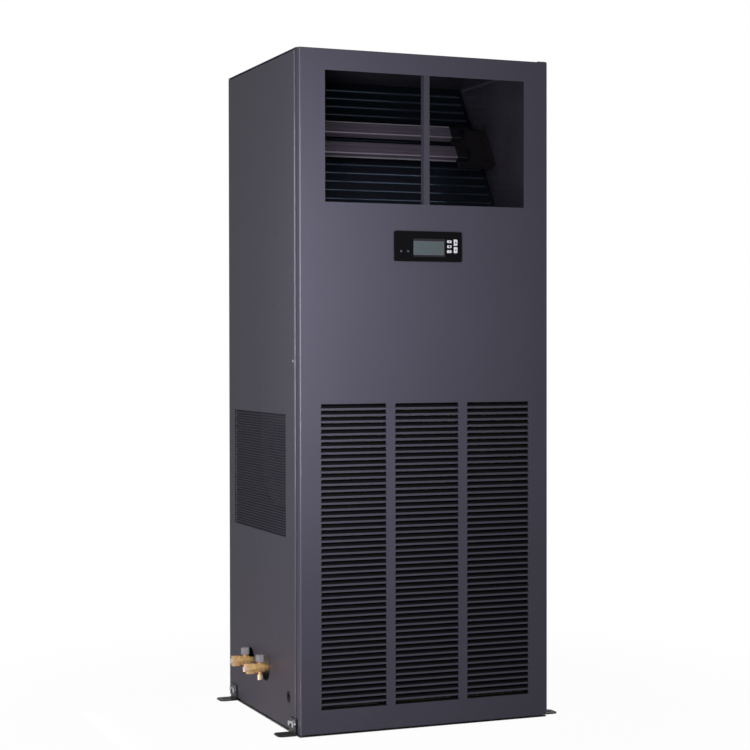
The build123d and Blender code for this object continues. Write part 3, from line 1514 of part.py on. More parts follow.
# Window mullion: an upright bar, flush with the door between the two bays and fixed behind them
mullion_body = mullion_depth - skin
with BuildPart() as window_mullion:
    with BuildSketch(at_y(front_y + skin)):
        with Locations((0, window_mid_z)):
            Rectangle(mullion_width, window_height + 2 * mullion_overlap)
    extrude(amount=-mullion_body)
    with BuildSketch(at_y(front_y)):
        with Locations((0, window_mid_z)):
            Rectangle(mullion_width, window_height)
    extrude(amount=-skin)
window_mullion.part.label = "window_mullion"
export_step(window_mullion.part, "parts/window_mullion.step")

# Door gasket: a foam strip on the back lip
gasket_depth = door_gap - seat_gap
with BuildPart() as door_gasket:
    with BuildSketch(at_y(door_back_y)):
        with Locations((0, door_mid_z)):
            Rectangle(cabinet_width - 2 * gasket_inset, door_height - 2 * gasket_inset)
            Rectangle(
                cabinet_width - 2 * (gasket_inset + gasket_width),
                door_height - 2 * (gasket_inset + gasket_width),
                mode=Mode.SUBTRACT,
            )
    extrude(amount=-gasket_depth)
door_gasket.part.label = "door_gasket"
export_step(door_gasket.part, "parts/door_gasket.step")

# Hinge pins in the cabinet and the bushes that turn on them in the door
bush_inner_radius = hinge_pin_radius + hinge_pin_clearance
bush_low_z = door_bottom_z + skin
bush_high_z = door_top_z - skin
with BuildPart() as hinge_pins:
    with BuildSketch(at_z(0)):
        with Locations((hinge_x, hinge_y)):
            Circle(hinge_pin_radius)
    extrude(amount=bush_low_z + hinge_bush_length)
    with BuildSketch(at_z(cabinet_height)):
        with Locations((hinge_x, hinge_y)):
            Circle(hinge_pin_radius)
    extrude(amount=-(cabinet_height - bush_high_z + hinge_bush_length))
hinge_pins.part.label = "hinge_pins"
export_step(hinge_pins.part, "parts/hinge_pins.step")
with BuildPart() as hinge_bushes:
    for start_z, length in ((bush_low_z, hinge_bush_length), (bush_high_z, -hinge_bush_length)):
        with BuildSketch(at_z(start_z)):
            with Locations((hinge_x, hinge_y)):
                Circle(bush_inner_radius + hinge_bush_wall)
                Circle(bush_inner_radius, mode=Mode.SUBTRACT)
        extrude(amount=length)
hinge_bushes.part.label = "hinge_bushes"
export_step(hinge_bushes.part, "parts/hinge_bushes.step")

# Display bezel: a moulded front with a body through the door, hollow from behind
display_front_y = front_y - display_proud
display_inner_y = display_front_y + display_wall
cavity_width = display_body_width - 2 * display_wall
cavity_height = display_body_height - 2 * display_wall
small_button_places = [
    (small_button_x, small_button_z + step * small_button_pitch) for step in (1, 0, -1)
]
tall_button_places = [(tall_button_x, tall_button_z + step * tall_button_pitch / 2) for step in (1, -1)]
with BuildPart() as display_bezel:
    with BuildSketch(at_y(display_front_y)):
        with Locations((display_x, display_z)):
            RectangleRounded(display_width, display_height, display_corner)
    extrude(amount=-display_proud)
    fillet(faces().sort_by(Axis.Y)[0].edges(), radius=display_edge)
    with BuildSketch(at_y(front_y)):
        with Locations((display_x, display_z)):
            Rectangle(display_body_width, display_body_height)
    extrude(amount=-display_body_depth)
    with BuildSketch(at_y(display_inner_y)):
        with Locations((display_x, display_z)):
            Rectangle(cavity_width, cavity_height)
    extrude(amount=-display_proud - display_body_depth, mode=Mode.SUBTRACT)
    with BuildSketch(at_y(display_front_y)):
        with Locations((screen_x, screen_z)):
            Rectangle(screen_width, screen_height)
        with Locations(*small_button_places):
            Rectangle(
                small_button_width + 2 * button_clearance, small_button_height + 2 * button_clearance
            )
        with Locations(*tall_button_places):
            Rectangle(tall_button_width + 2 * button_clearance, tall_button_height + 2 * button_clearance)
    extrude(amount=-2 * display_wall, mode=Mode.SUBTRACT)
display_bezel.part.label = "display_bezel"
export_step(display_bezel.part, "parts/display_bezel.step")

# Display board behind the bezel, and the screen on it
board_front_y = display_inner_y + seat_gap + button_flange_thickness + button_travel + seat_gap
with BuildPart() as display_board:
    with BuildSketch(at_y(board_front_y)):
        with Locations((display_x, display_z)):
            Rectangle(cavity_width - 2 * seat_gap, cavity_height - 2 * seat_gap)
    extrude(amount=-board_thickness)
display_board.part.label = "display_board"
export_step(display_board.part, "parts/display_board.step")
with BuildPart() as display_screen:
    with BuildSketch(at_y(board_front_y)):
        with Locations((screen_x, screen_z)):
            Rectangle(screen_width - 2 * seat_gap, screen_height - 2 * seat_gap)
    extrude(amount=board_front_y - display_front_y - screen_recess)
display_screen.part.label = "display_screen"
export_step(display_screen.part, "parts/display_screen.step")

# Buttons: a cap through the bezel on a flange behind it
buttons = [
    ("button_up", small_button_places[0], small_button_width, small_button_height),
    ("button_enter", small_button_places[1], small_button_width, small_button_height),
    ("button_down", small_button_places[2], small_button_width, small_button_height),
    ("button_power", tall_button_places[0], tall_button_width, tall_button_height),
    ("button_silence", tall_button_places[1], tall_button_width, tall_button_height),
]
for name, place, width, height in buttons:
    with BuildPart() as button:
        with BuildSketch(at_y(display_inner_y + seat_gap)):
            with Locations(place):
                RectangleRounded(width, height, button_corner)
        extrude(amount=display_wall + seat_gap + button_proud)
        fillet(faces().sort_by(Axis.Y)[0].edges(), radius=button_edge)
        with BuildSketch(at_y(display_inner_y + seat_gap)):
            with Locations(place):
                Rectangle(width + 2 * button_flange, height + 2 * button_flange)
        extrude(amount=-button_flange_thickness)
    button.part.label = name
    export_step(button.part, f"parts/{name}.step")
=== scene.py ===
# Computer room air conditioner: finishes, fine pieces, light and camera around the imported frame
import bmesh
import bpy
import json
import math
from mathutils import Matrix, Vector


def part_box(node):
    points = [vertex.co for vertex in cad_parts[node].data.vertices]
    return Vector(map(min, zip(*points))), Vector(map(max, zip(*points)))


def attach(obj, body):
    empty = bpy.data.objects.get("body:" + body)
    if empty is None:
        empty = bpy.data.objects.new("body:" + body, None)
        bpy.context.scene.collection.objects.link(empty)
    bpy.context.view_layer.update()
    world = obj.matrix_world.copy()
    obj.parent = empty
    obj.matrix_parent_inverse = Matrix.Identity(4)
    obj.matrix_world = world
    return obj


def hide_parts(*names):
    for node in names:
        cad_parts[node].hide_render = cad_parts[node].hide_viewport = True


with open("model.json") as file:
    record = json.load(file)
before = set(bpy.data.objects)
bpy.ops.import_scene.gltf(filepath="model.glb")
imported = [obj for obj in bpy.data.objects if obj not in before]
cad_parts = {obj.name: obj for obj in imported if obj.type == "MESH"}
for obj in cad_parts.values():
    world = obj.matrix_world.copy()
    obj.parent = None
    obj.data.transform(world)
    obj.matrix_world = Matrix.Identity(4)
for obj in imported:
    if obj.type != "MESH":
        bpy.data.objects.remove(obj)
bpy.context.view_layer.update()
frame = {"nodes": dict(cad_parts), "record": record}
nodes = frame["nodes"]
print("frame loaded:", len(nodes), "nodes")


class Wire:  # one socket's output, with maths on it
    def __init__(self, finish, socket):
        self.finish = finish
        self.socket = socket

    def maths(self, operation, first, second):
        return self.finish.add("ShaderNodeMath", {"operation": operation}, {0: first, 1: second})

    def __add__(self, other):
        return self.maths("ADD", self, other)

    def __radd__(self, other):
        return self.maths("ADD", other, self)

    def __sub__(self, other):
        return self.maths("SUBTRACT", self, other)

    def __rsub__(self, other):
        return self.maths("SUBTRACT", other, self)

    def __mul__(self, other):
        return self.maths("MULTIPLY", self, other)

    def __rmul__(self, other):
        return self.maths("MULTIPLY", other, self)

    def __truediv__(self, other):
        return self.maths("DIVIDE", self, other)

    def __mod__(self, other):
        return self.maths("FLOORED_MODULO", self, other)

    def __gt__(self, other):
        return self.maths("GREATER_THAN", self, other)

    def __lt__(self, other):
        return self.maths("LESS_THAN", self, other)

    def clipped(self):
        return self.maths("MINIMUM", self.maths("MAXIMUM", self, 0.0), 1.0)

    def absolute(self):
        return self.maths("ABSOLUTE", self, 0.0)

    def either(self, other):
        return self.maths("MAXIMUM", self, other)


class Finish:  # a material, or the world, being built node by node
    def __init__(self, name, shelf=bpy.data.materials):
        self.owner = shelf.new(name)
        self.owner.use_nodes = True
        self.tree = self.owner.node_tree
        self.tree.nodes.clear()

    def add(self, kind, settings, sockets, output=0):  # any node: settings first, then its sockets
        node = self.tree.nodes.new(kind)
        for key, value in settings.items():
            setattr(node, key, value)
        for key, value in sockets.items():
            self.plug(node, key, value)
        return Wire(self, node.outputs[output])

    def plug(self, node, key, value):
        if isinstance(value, Wire):
            self.tree.links.new(value.socket, node.inputs[key])
        elif isinstance(value, tuple) and node.inputs[key].type == "RGBA":
            node.inputs[key].default_value = (*value, 1.0)
        else:
            node.inputs[key].default_value = value

    def place(self):  # the point on the piece, in metres
        return self.add("ShaderNodeTexCoord", {}, {}, "Object")

    def axis(self, name):
        return self.add("ShaderNodeSeparateXYZ", {}, {0: self.place()}, name)

    def noise(self, scale, detail=3.0, roughness=0.55):
        sockets = {"Vector": self.place(), "Scale": scale, "Detail": detail, "Roughness": roughness}
        return self.add("ShaderNodeTexNoise", {}, sockets, "Fac")

    def stretchedNoise(self, scales, detail=3.0):  # grain along one axis
        point = self.add("ShaderNodeVectorMath", {"operation": "MULTIPLY"}, {0: self.place(), 1: scales})
        return self.add("ShaderNodeTexNoise", {}, {"Vector": point, "Scale": 1.0, "Detail": detail}, "Fac")

    def blend(self, factor, first, second):  # two colours
        return self.add("ShaderNodeMix", {"data_type": "RGBA"}, {0: factor, 6: first, 7: second}, 2)

    def spread(self, factor, low, high):  # a value from low to high
        return low + factor * (high - low)

    def bump(self, height, strength, distance):
        sockets = {"Height": height, "Strength": strength, "Distance": distance}
        return self.add("ShaderNodeBump", {}, sockets, "Normal")

    def shader(self, **values):  # closes the material with one principled surface
        names = {"colour": "Base Color", "roughness": "Roughness", "metallic": "Metallic", "normal": "Normal",
                 "coat": "Coat Weight", "coatRoughness": "Coat Roughness", "specular": "Specular IOR Level",
                 "sheen": "Sheen Weight"}
        sockets = {names[key]: value for key, value in values.items()}
        return self.close(self.add("ShaderNodeBsdfPrincipled", {}, sockets, "BSDF"))

    def close(self, surface, kind="ShaderNodeOutputMaterial"):  # joins the surface to the output
        output = self.tree.nodes.new(kind)
        self.tree.links.new(surface.socket, output.inputs["Surface"])
        return self.owner


def colourOf(red, green, blue):  # a colour as it shows on screen, 0 to 255, made linear
    shown = [part / 255 for part in (red, green, blue)]
    return tuple(((part + 0.055) / 1.055) ** 2.4 if part > 0.04 else part / 12.92 for part in shown)


def tinted(colour, factor, lift=0.0):  # the same colour, darker or lighter
    return tuple(part * factor + lift for part in colour)


def outside(place, low, high):  # 1 where a place lies off the stretch from low to high
    return (place < low).either(place > high)


# Powder coat: wide faint clouding, fine grain and orange peel
coating = {"cloudScale": 3.2, "clouding": 0.07, "grainScale": 900.0, "grain": 0.06,
           "peelScale": 620.0, "peel": 0.18, "peelDepth": 0.0004}


def clouded(finish, colour):
    cloud, depth = finish.noise(coating["cloudScale"], 2.0), coating["clouding"]
    return finish.blend(cloud, tinted(colour, 1 - depth), tinted(colour, 1 + depth))


def coatGrain(finish, roughness):
    grain = finish.noise(coating["grainScale"], 2.0)
    return finish.spread(grain, roughness - coating["grain"], roughness + coating["grain"])


def orangePeel(finish):
    return finish.bump(finish.noise(coating["peelScale"], 2.0), coating["peel"], coating["peelDepth"])


def powderCoat(name, colour, roughness, specular):
    finish = Finish(name)
    return finish.shader(
        colour=clouded(finish, colour),
        roughness=coatGrain(finish, roughness),
        specular=specular,
        normal=orangePeel(finish),
    )


# Bent panels: glossier over the upright outer bends, with a painted highlight that lightens their colour
# there, and painted shade that darkens the cut edges of their openings
bends = {"width": 0.0026, "tint": 1.5, "gloss": 0.9, "glossRoughness": 0.2, "specular": 0.22,
         "roughness": 0.5, "cutShade": 0.08, "cutRoughness": 0.4, "faceDepth": 0.0001, "frontLip": 0.03,
         "rearLip": 0.003}


def bentSheet(name, colour, low, high):
    finish = Finish(name)
    across, back = finish.axis("X"), finish.axis("Y")
    # painted highlight: the colour is lighter over the upright front bends
    highlightedBend = outside(across, low.x + bends["width"], high.x - bends["width"]) * (back < low.y + bends["width"])
    betweenFaces = (across > low.x + bends["faceDepth"]) * (across < high.x - bends["faceDepth"])
    betweenLips = (back > low.y + bends["frontLip"]) * (back < high.y - bends["rearLip"])
    shadedCutEdge = betweenFaces * betweenLips
    # painted shade: the cut edges of the openings are darkened nearly to black
    sheet = finish.blend(shadedCutEdge, clouded(finish, colour), tinted(colour, bends["cutShade"]))
    return finish.shader(
        colour=finish.blend(highlightedBend, sheet, tinted(colour, bends["tint"])),
        roughness=coatGrain(finish, bends["roughness"]) + shadedCutEdge * bends["cutRoughness"],
        coat=highlightedBend * bends["gloss"],
        coatRoughness=bends["glossRoughness"],
        specular=bends["specular"],
        normal=orangePeel(finish),
    )


# Louvre inserts: paint colour on their face, with painted shade, near black, deeper than the face and over
# each lip's top
louvres = {"pitch": 0.016, "rim": 0.0015, "slotShare": 0.52, "lipShadow": 0.17, "shadeReach": 0.0022,
           "behind": colourOf(7, 7, 12), "faceRoughness": 0.46, "deepRoughness": 0.8, "grain": 0.08,
           "specular": 0.22}


def shadedInsert(name, colour, low, high):
    finish = Finish(name)
    # painted shade: the colour turns near black deeper than the face
    depth = ((finish.axis("Y") - low.y) / louvres["shadeReach"]).clipped()
    down = ((high.z - finish.axis("Z") - louvres["rim"]) / louvres["pitch"]) % 1.0
    # painted shade: near black over each lip's top
    lipTopShadow = (down > louvres["slotShare"]) * (down < louvres["slotShare"] + louvres["lipShadow"])
    grain = finish.noise(coating["grainScale"], 2.0) * louvres["grain"]
    return finish.shader(
        colour=finish.blend(depth.either(lipTopShadow), colour, louvres["behind"]),
        roughness=finish.spread(depth, louvres["faceRoughness"], louvres["deepRoughness"]) + grain,
        specular=louvres["specular"],
        normal=orangePeel(finish),
    )


# Zinc sheet: spangle, drawn grain and light scuffs
zinc = {"spangleScale": 160.0, "darkest": 0.82, "lightest": 1.1, "grainScales": (30.0, 30.0, 400.0),
        "smoother": 0.08, "rougher": 0.1, "bump": 0.12, "bumpDepth": 0.0003}


def dullSheet(name, colour, metallic, roughness):
    finish = Finish(name)
    sockets = {"Vector": finish.place(), "Scale": zinc["spangleScale"]}
    spangle = finish.add("ShaderNodeTexVoronoi", {}, sockets, "Color")
    tone = finish.add("ShaderNodeSeparateXYZ", {}, {0: spangle}, "X")
    grain = finish.stretchedNoise(zinc["grainScales"])
    return finish.shader(
        colour=finish.blend(tone, tinted(colour, zinc["darkest"]), tinted(colour, zinc["lightest"])),
        metallic=metallic,
        roughness=finish.spread(grain, roughness - zinc["smoother"], roughness + zinc["rougher"]),
        normal=finish.bump(grain, zinc["bump"], zinc["bumpDepth"]),
    )


# Moulded plastic: faint mottling and a fine spark texture
moulding = {"mottleScale": 40.0, "darkest": 0.94, "lightest": 1.05, "sparkScale": 1500.0, "spark": 0.07,
            "bump": 0.15, "bumpDepth": 0.0002}


def castPlastic(name, colour, roughness=0.5, specular=0.5):
    finish = Finish(name)
    mottle = finish.noise(moulding["mottleScale"])
    spark = finish.noise(moulding["sparkScale"], 2.0)
    dark, light = tinted(colour, moulding["darkest"]), tinted(colour, moulding["lightest"])
    return finish.shader(
        colour=finish.blend(mottle, dark, light),
        roughness=finish.spread(spark, roughness - moulding["spark"], roughness + moulding["spark"]),
        specular=specular,
        normal=finish.bump(spark, moulding["bump"], moulding["bumpDepth"]),
    )


# Brass and copper: turned on a lathe or drawn, and a little dulled in patches
turning = {"stainScale": 38.0, "stainFrom": 0.46, "stainEdge": 3.5, "stainShare": 0.35,
           "stainRoughness": 0.22, "latheScales": (2400.0, 200.0, 200.0), "bump": 0.1, "bumpDepth": 0.0002}


def turnedMetal(name, colour, roughness, tarnish, metallic=0.92):
    finish = Finish(name)
    patches = finish.noise(turning["stainScale"], 5.0, 0.65)
    stain = ((patches - turning["stainFrom"]) * turning["stainEdge"]).clipped()
    lathe = finish.stretchedNoise(turning["latheScales"])
    return finish.shader(
        colour=finish.blend(stain * turning["stainShare"], colour, tarnish),
        metallic=metallic,
        roughness=finish.spread(stain, roughness, roughness + turning["stainRoughness"]),
        normal=finish.bump(lathe, turning["bump"], turning["bumpDepth"]),
    )


# Coil fins on edge under a dark coating, about twelve to the inch, with painted shade between the fins
fins = {"pitch": 0.0021, "gap": colourOf(6, 9, 16), "edge": colourOf(22, 32, 48),
        "dust": colourOf(16, 22, 34), "dustScale": 14.0, "dustShare": 0.35, "metallic": 0.35,
        "roughness": 0.5, "bump": 0.5, "bumpDepth": 0.0008}


def finPack(name):
    finish = Finish(name)
    ridge = (((finish.axis("X") / fins["pitch"]) % 1.0) - 0.5).absolute() * 2.0
    dust = finish.noise(fins["dustScale"], 4.0)
    # painted shade: the colour darkens between the fin edges
    edgesAndShadedGaps = finish.blend(ridge, fins["gap"], fins["edge"])
    return finish.shader(
        colour=finish.blend(dust * fins["dustShare"], edgesAndShadedGaps, fins["dust"]),
        metallic=fins["metallic"],
        roughness=fins["roughness"],
        normal=finish.bump(ridge, fins["bump"], fins["bumpDepth"]),
    )


# Plenum facing: smooth dark skin over foam, with a soft sheen
facingBoard = {"dark": colourOf(50, 47, 56), "light": colourOf(60, 58, 68), "rippleScale": 9.0,
               "smoothest": 0.2, "roughest": 0.3, "bump": 0.1, "bumpDepth": 0.002}


def linerBoard(name):
    finish = Finish(name)
    ripple = finish.noise(facingBoard["rippleScale"], 2.0)
    return finish.shader(
        colour=finish.blend(ripple, facingBoard["dark"], facingBoard["light"]),
        roughness=finish.spread(ripple, facingBoard["smoothest"], facingBoard["roughest"]),
        normal=finish.bump(ripple, facingBoard["bump"], facingBoard["bumpDepth"]),
    )


# Reheat bars: brushed aluminium sheaths, clouded by heat, with a painted highlight along their outer edges
sheath = {"metal": colourOf(158, 148, 166), "heated": colourOf(132, 122, 138), "heatScale": 7.0,
          "streak": colourOf(110, 106, 118), "streakShare": 0.12, "streakScales": (12.0, 900.0, 900.0),
          "edgeHighlight": colourOf(250, 244, 255), "edge": 0.0035, "metallic": 0.8, "smoothest": 0.42,
          "roughest": 0.54, "bump": 0.05, "bumpDepth": 0.0002}


def heaterMetal(name, low, high):
    finish = Finish(name)
    highlightedEdge = outside(finish.axis("Z"), low.z + sheath["edge"], high.z - sheath["edge"])
    streak = finish.stretchedNoise(sheath["streakScales"], 4.0)
    heat = finish.blend(finish.noise(sheath["heatScale"], 3.0), sheath["metal"], sheath["heated"])
    brushed = finish.blend(streak * sheath["streakShare"], heat, sheath["streak"])
    return finish.shader(
        # painted highlight: the colour is near white along the bars' top and bottom edges
        colour=finish.blend(highlightedEdge, brushed, sheath["edgeHighlight"]),
        metallic=sheath["metallic"],
        roughness=finish.spread(streak, sheath["smoothest"], sheath["roughest"]),
        normal=finish.bump(streak, sheath["bump"], sheath["bumpDepth"]),
    )


# Rubber: bloomed a little grey in patches
bloomed = {"scale": 55.0, "share": 0.5, "tint": 1.9, "lift": 0.004, "smoothest": 0.62, "roughest": 0.78,
           "skinScale": 800.0, "bump": 0.2, "bumpDepth": 0.0003}


def rubber(name, colour):
    finish = Finish(name)
    bloom = finish.noise(bloomed["scale"], 4.0)
    greyed = tinted(colour, bloomed["tint"], bloomed["lift"])
    return finish.shader(
        colour=finish.blend(bloom * bloomed["share"], colour, greyed),
        roughness=finish.spread(bloom, bloomed["smoothest"], bloomed["roughest"]),
        normal=finish.bump(finish.noise(bloomed["skinScale"]), bloomed["bump"], bloomed["bumpDepth"]),
    )


# Filter media: pleated non-woven cloth, dusty in the folds
media = {"clean": colourOf(206, 206, 200), "dirty": colourOf(150, 148, 142), "dirtScale": 9.0,
         "dirtShare": 0.6, "fibreScales": (700.0, 700.0, 90.0), "roughness": 0.88, "sheen": 0.3,
         "bump": 0.5, "bumpDepth": 0.0004}


def filterCloth(name):
    finish = Finish(name)
    fibre = finish.stretchedNoise(media["fibreScales"], 5.0)
    dirt = finish.noise(media["dirtScale"], 4.0)
    return finish.shader(
        colour=finish.blend(dirt * media["dirtShare"], media["clean"], media["dirty"]),
        roughness=media["roughness"],
        sheen=media["sheen"],
        normal=finish.bump(fibre, media["bump"], media["bumpDepth"]),
    )


# Display screen: a dead grey cell with faint rows, a paler rim and a black mask around it. The widths of
# the mask and the rim are measured from the solid's left, right, bottom and top
screen = {"mask": (0.0004, 0.0030, 0.0046, 0.0060), "rim": (0.0026, 0.0066, 0.0058, 0.0082),
          "maskColour": colourOf(12, 12, 17), "rimColour": colourOf(90, 92, 100),
          "cell": colourOf(80, 92, 96), "row": colourOf(72, 81, 88), "rowPitch": 0.0042, "rowFrom": 0.82,
          "rowShare": 0.4, "roughness": 0.25, "gloss": 0.3, "glossRoughness": 0.1}


def liquidCrystal(name, low, high):
    finish = Finish(name)
    across, tall = finish.axis("X"), finish.axis("Z")

    def border(left, right, bottom, top):
        besideIt = outside(across, low.x + left, high.x - right)
        return besideIt.either(outside(tall, low.z + bottom, high.z - top))

    rows = (((tall / screen["rowPitch"]) % 1.0) > screen["rowFrom"]) * screen["rowShare"]
    glass = finish.blend(border(*screen["rim"]), finish.blend(rows, screen["cell"], screen["row"]),
                         screen["rimColour"])
    return finish.shader(
        colour=finish.blend(border(*screen["mask"]), glass, screen["maskColour"]),
        roughness=screen["roughness"],
        coat=screen["gloss"],
        coatRoughness=screen["glossRoughness"],
    )


# Circuit board: green with paler tracks
boardPrint = {"green": colourOf(18, 74, 44), "track": colourOf(60, 130, 80), "cellScale": 260.0,
              "trackFrom": 0.42, "trackShare": 0.8, "roughness": 0.4}


def circuitBoard(name):
    finish = Finish(name)
    sockets = {"Vector": finish.place(), "Scale": boardPrint["cellScale"]}
    cells = finish.add("ShaderNodeTexVoronoi", {}, sockets, "Distance")
    tracks = (cells > boardPrint["trackFrom"]) * boardPrint["trackShare"]
    return finish.shader(
        colour=finish.blend(tracks, boardPrint["green"], boardPrint["track"]),
        roughness=boardPrint["roughness"],
    )


# Coil tube under the coil's dark coating, with a narrow highlight
tubeCoat = {"runScales": (18.0, 500.0, 500.0), "tint": 1.5, "share": 0.6, "metallic": 0.75,
            "smoothest": 0.12, "roughest": 0.2}


def coatedTube(name, colour):
    finish = Finish(name)
    run = finish.stretchedNoise(tubeCoat["runScales"])
    return finish.shader(
        colour=finish.blend(run * tubeCoat["share"], colour, tinted(colour, tubeCoat["tint"])),
        metallic=tubeCoat["metallic"],
        roughness=finish.spread(run, tubeCoat["smoothest"], tubeCoat["roughest"]),
    )


# Finishes by the record's material slots
cabinetColour = colourOf(78, 76, 90)
finishes = {
    "cabinet_paint": powderCoat("cabinetPaint", cabinetColour, 0.5, 0.22),
    "frame_paint": powderCoat("framePaint", colourOf(66, 65, 76), 0.5, 0.3),
    "bracket_paint": powderCoat("bracketPaint", colourOf(38, 41, 44), 0.42, 0.5),
    "black_paint": powderCoat("blackEnamel", colourOf(24, 24, 27), 0.3, 0.5),
    "motor_paint": powderCoat("motorPaint", colourOf(52, 56, 66), 0.4, 0.5),
    "zinc_sheet": dullSheet("zincSheet", colourOf(176, 178, 182), 0.75, 0.42),
    "zinc_steel": dullSheet("zincPlate", colourOf(206, 206, 212), 0.9, 0.26),
    "fin_aluminium": finPack("coilFins"),
    "heater_metal": heaterMetal("heaterSheath", *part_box("heater_bars")),
    "copper": turnedMetal("copperPipe", colourOf(196, 122, 84), 0.3, colourOf(110, 62, 40)),
    "brass": turnedMetal("valveBrass", colourOf(255, 212, 146), 0.2, colourOf(222, 150, 82), 0.5),
    "coil_tube": coatedTube("coatedTube", colourOf(66, 76, 92)),
    "liner_board": linerBoard("plenumFacing"),
    "seal_rubber": rubber("sealRubber", colourOf(26, 26, 29)),
    "bush_plastic": castPlastic("bushPlastic", colourOf(206, 204, 196)),
    "black_plastic": castPlastic("blackPlastic", colourOf(24, 23, 30), 0.42),
    "bezel_plastic": castPlastic("bezelPlastic", colourOf(7, 7, 11), 0.45, 0.1),
    "button_plastic": castPlastic("buttonPlastic", colourOf(232, 232, 240), 0.45),
    "grey_plastic": castPlastic("capPlastic", colourOf(168, 170, 176), 0.5),
    "white_plastic": castPlastic("plugPlastic", colourOf(226, 226, 222), 0.4),
    "red_plastic": castPlastic("handlePlastic", colourOf(172, 34, 30), 0.4),
    "filter_card": castPlastic("filterFrameBoard", colourOf(180, 174, 160), 0.8),
    "filter_cloth": filterCloth("pleatedMedia"),
    "board": circuitBoard("circuitBoard"),
    "screen": liquidCrystal("liquidCrystal", *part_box("display_screen")),
}
ownFinishes = {  # pieces whose finish differs from the rest of their slot
    "door_panel": bentSheet("doorPaint", cabinetColour, *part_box("door_panel")),
    "left_side_panel": bentSheet("sidePaint", cabinetColour, *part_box("left_side_panel")),
    "right_side_panel": bentSheet("sidePaintRight", cabinetColour, *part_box("right_side_panel")),
    "louvre_inserts": shadedInsert("insertPaint", cabinetColour, *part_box("louvre_inserts")),
    # painted shade: the mullion takes a darker copy of the cabinet paint
    "window_mullion": powderCoat("mullionShadedPaint", tinted(cabinetColour, 0.78), 0.5, 0.22),
    "heater_brackets": powderCoat("heaterBracketPaint", colourOf(36, 33, 39), 0.45, 0.3),
    "port_caps": turnedMetal("capBrass", colourOf(252, 236, 196), 0.22, colourOf(214, 176, 120), 0.35),
}
for subpart in frame["record"]["subparts"]:
    mesh = nodes[subpart["node"]].data
    mesh.materials.clear()
    mesh.materials.append(ownFinishes.get(subpart["node"], finishes[subpart["material_slot"]]))
print("finishes on the frame:", len(finishes) + len(ownFinishes))


def pieceFrom(shape, name, material, body):  # a bmesh becomes a piece that rides on a body
    bmesh.ops.remove_doubles(shape, verts=shape.verts, dist=1e-6)
    bmesh.ops.recalc_face_normals(shape, faces=shape.faces)
    mesh = bpy.data.meshes.new(name)
    shape.to_mesh(mesh)
    shape.free()
    piece = bpy.data.objects.new(name, mesh)
    bpy.context.scene.collection.objects.link(piece)
    mesh.materials.append(material)
    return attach(piece, body)


def facing(direction, point):  # stands a shape made flat on XY at a point, facing a direction
    turn = Vector((0, 0, 1)).rotation_difference(Vector(direction)).to_matrix().to_4x4()
    return Matrix.Translation(Vector(point)) @ turn


def addStud(shape, values, sides, place):  # a low round or many-sided stud
    bmesh.ops.create_cone(shape, cap_ends=True, segments=sides, radius1=values["radius"],
                          radius2=values["radius"] * values["taper"], depth=values["proud"], matrix=place)


# Side grille: a fine perforated sheet in place of the slotted plate, with painted shade: a darker copy of the
# cabinet paint and black walls in its holes
sideMesh = {"holePitchAlong": 0.0064, "holePitchUp": 0.0070, "holeMargin": 0.0013, "roundness": 0.0014,
            "rim": 0.010, "gauge": 0.0012, "tint": 0.70, "roughness": 0.6, "specular": 0.15}


def makeSideMesh():
    low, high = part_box("side_grille")
    rim = sideMesh["rim"]
    holedAlong, holedUp = high.y - low.y - 2 * rim, high.z - low.z - 2 * rim
    shape = bmesh.new()
    bmesh.ops.create_grid(shape, x_segments=round(holedAlong / sideMesh["holePitchAlong"]),
                          y_segments=round(holedUp / sideMesh["holePitchUp"]), size=0.5)
    outer = [edge for edge in shape.edges if edge.is_boundary]
    cells = list(shape.faces)
    scale = Matrix.Diagonal((holedAlong, holedUp, 1.0, 1.0))
    bmesh.ops.transform(shape, matrix=scale, verts=shape.verts)
    border = bmesh.ops.extrude_edge_only(shape, edges=outer)["geom"]
    for vert in [part for part in border if isinstance(part, bmesh.types.BMVert)]:
        for axis, half in enumerate((holedAlong / 2, holedUp / 2)):
            if abs(abs(vert.co[axis]) - half) < 1e-5:  # on this side's edge, so the plain rim grows outwards
                vert.co[axis] += math.copysign(rim, vert.co[axis])
    bmesh.ops.inset_individual(shape, faces=cells, thickness=sideMesh["holeMargin"])
    corners = [vert for face in cells for vert in face.verts]  # each hole has its own four
    bmesh.ops.delete(shape, geom=cells, context="FACES_ONLY")
    bmesh.ops.bevel(shape, geom=[vert for vert in corners if vert.is_valid], offset=sideMesh["roundness"],
                    affect="VERTICES", segments=1, profile=0.5, material=-1)
    stand = Matrix(((0, 0, 1, 0), (1, 0, 0, 0), (0, 1, 0, 0), (0, 0, 0, 1)))  # X along the side, Y up
    centre = (low + high) / 2
    centre.x = low.x + sideMesh["gauge"] / 2
    bmesh.ops.transform(shape, matrix=Matrix.Translation(centre) @ stand, verts=shape.verts)
    # painted shade: the mesh takes a darker copy of the cabinet paint
    paint = powderCoat("meshShadedPaint", tinted(cabinetColour, sideMesh["tint"]), sideMesh["roughness"],
                       sideMesh["specular"])
    piece = pieceFrom(shape, "sideMesh", paint, "cabinet")
    # painted shade: the holes' walls are black
    piece.data.materials.append(finishes["black_plastic"])  # for the holes' walls
    solid = piece.modifiers.new("thickness", "SOLIDIFY")
    solid.thickness = sideMesh["gauge"]
    solid.offset = 0.0
    solid.material_offset_rim = 1
    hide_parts("side_grille")


makeSideMesh()
print("side mesh made")

# Small dark plugs and rivets pressed into the left panel, by their distance back and height
panelPlugs = {
    "radius": 0.0026,
    "taper": 0.7,
    "proud": 0.0006,
    "places": [(0.022, 0.880), (0.022, 0.838), (0.021, 0.466), (0.075, 0.334), (0.075, 0.264),
               (-0.134, 0.232), (-0.133, 0.882), (-0.113, 1.289), (-0.236, 1.172), (-0.089, 1.101),
               (-0.234, 1.690)],
}


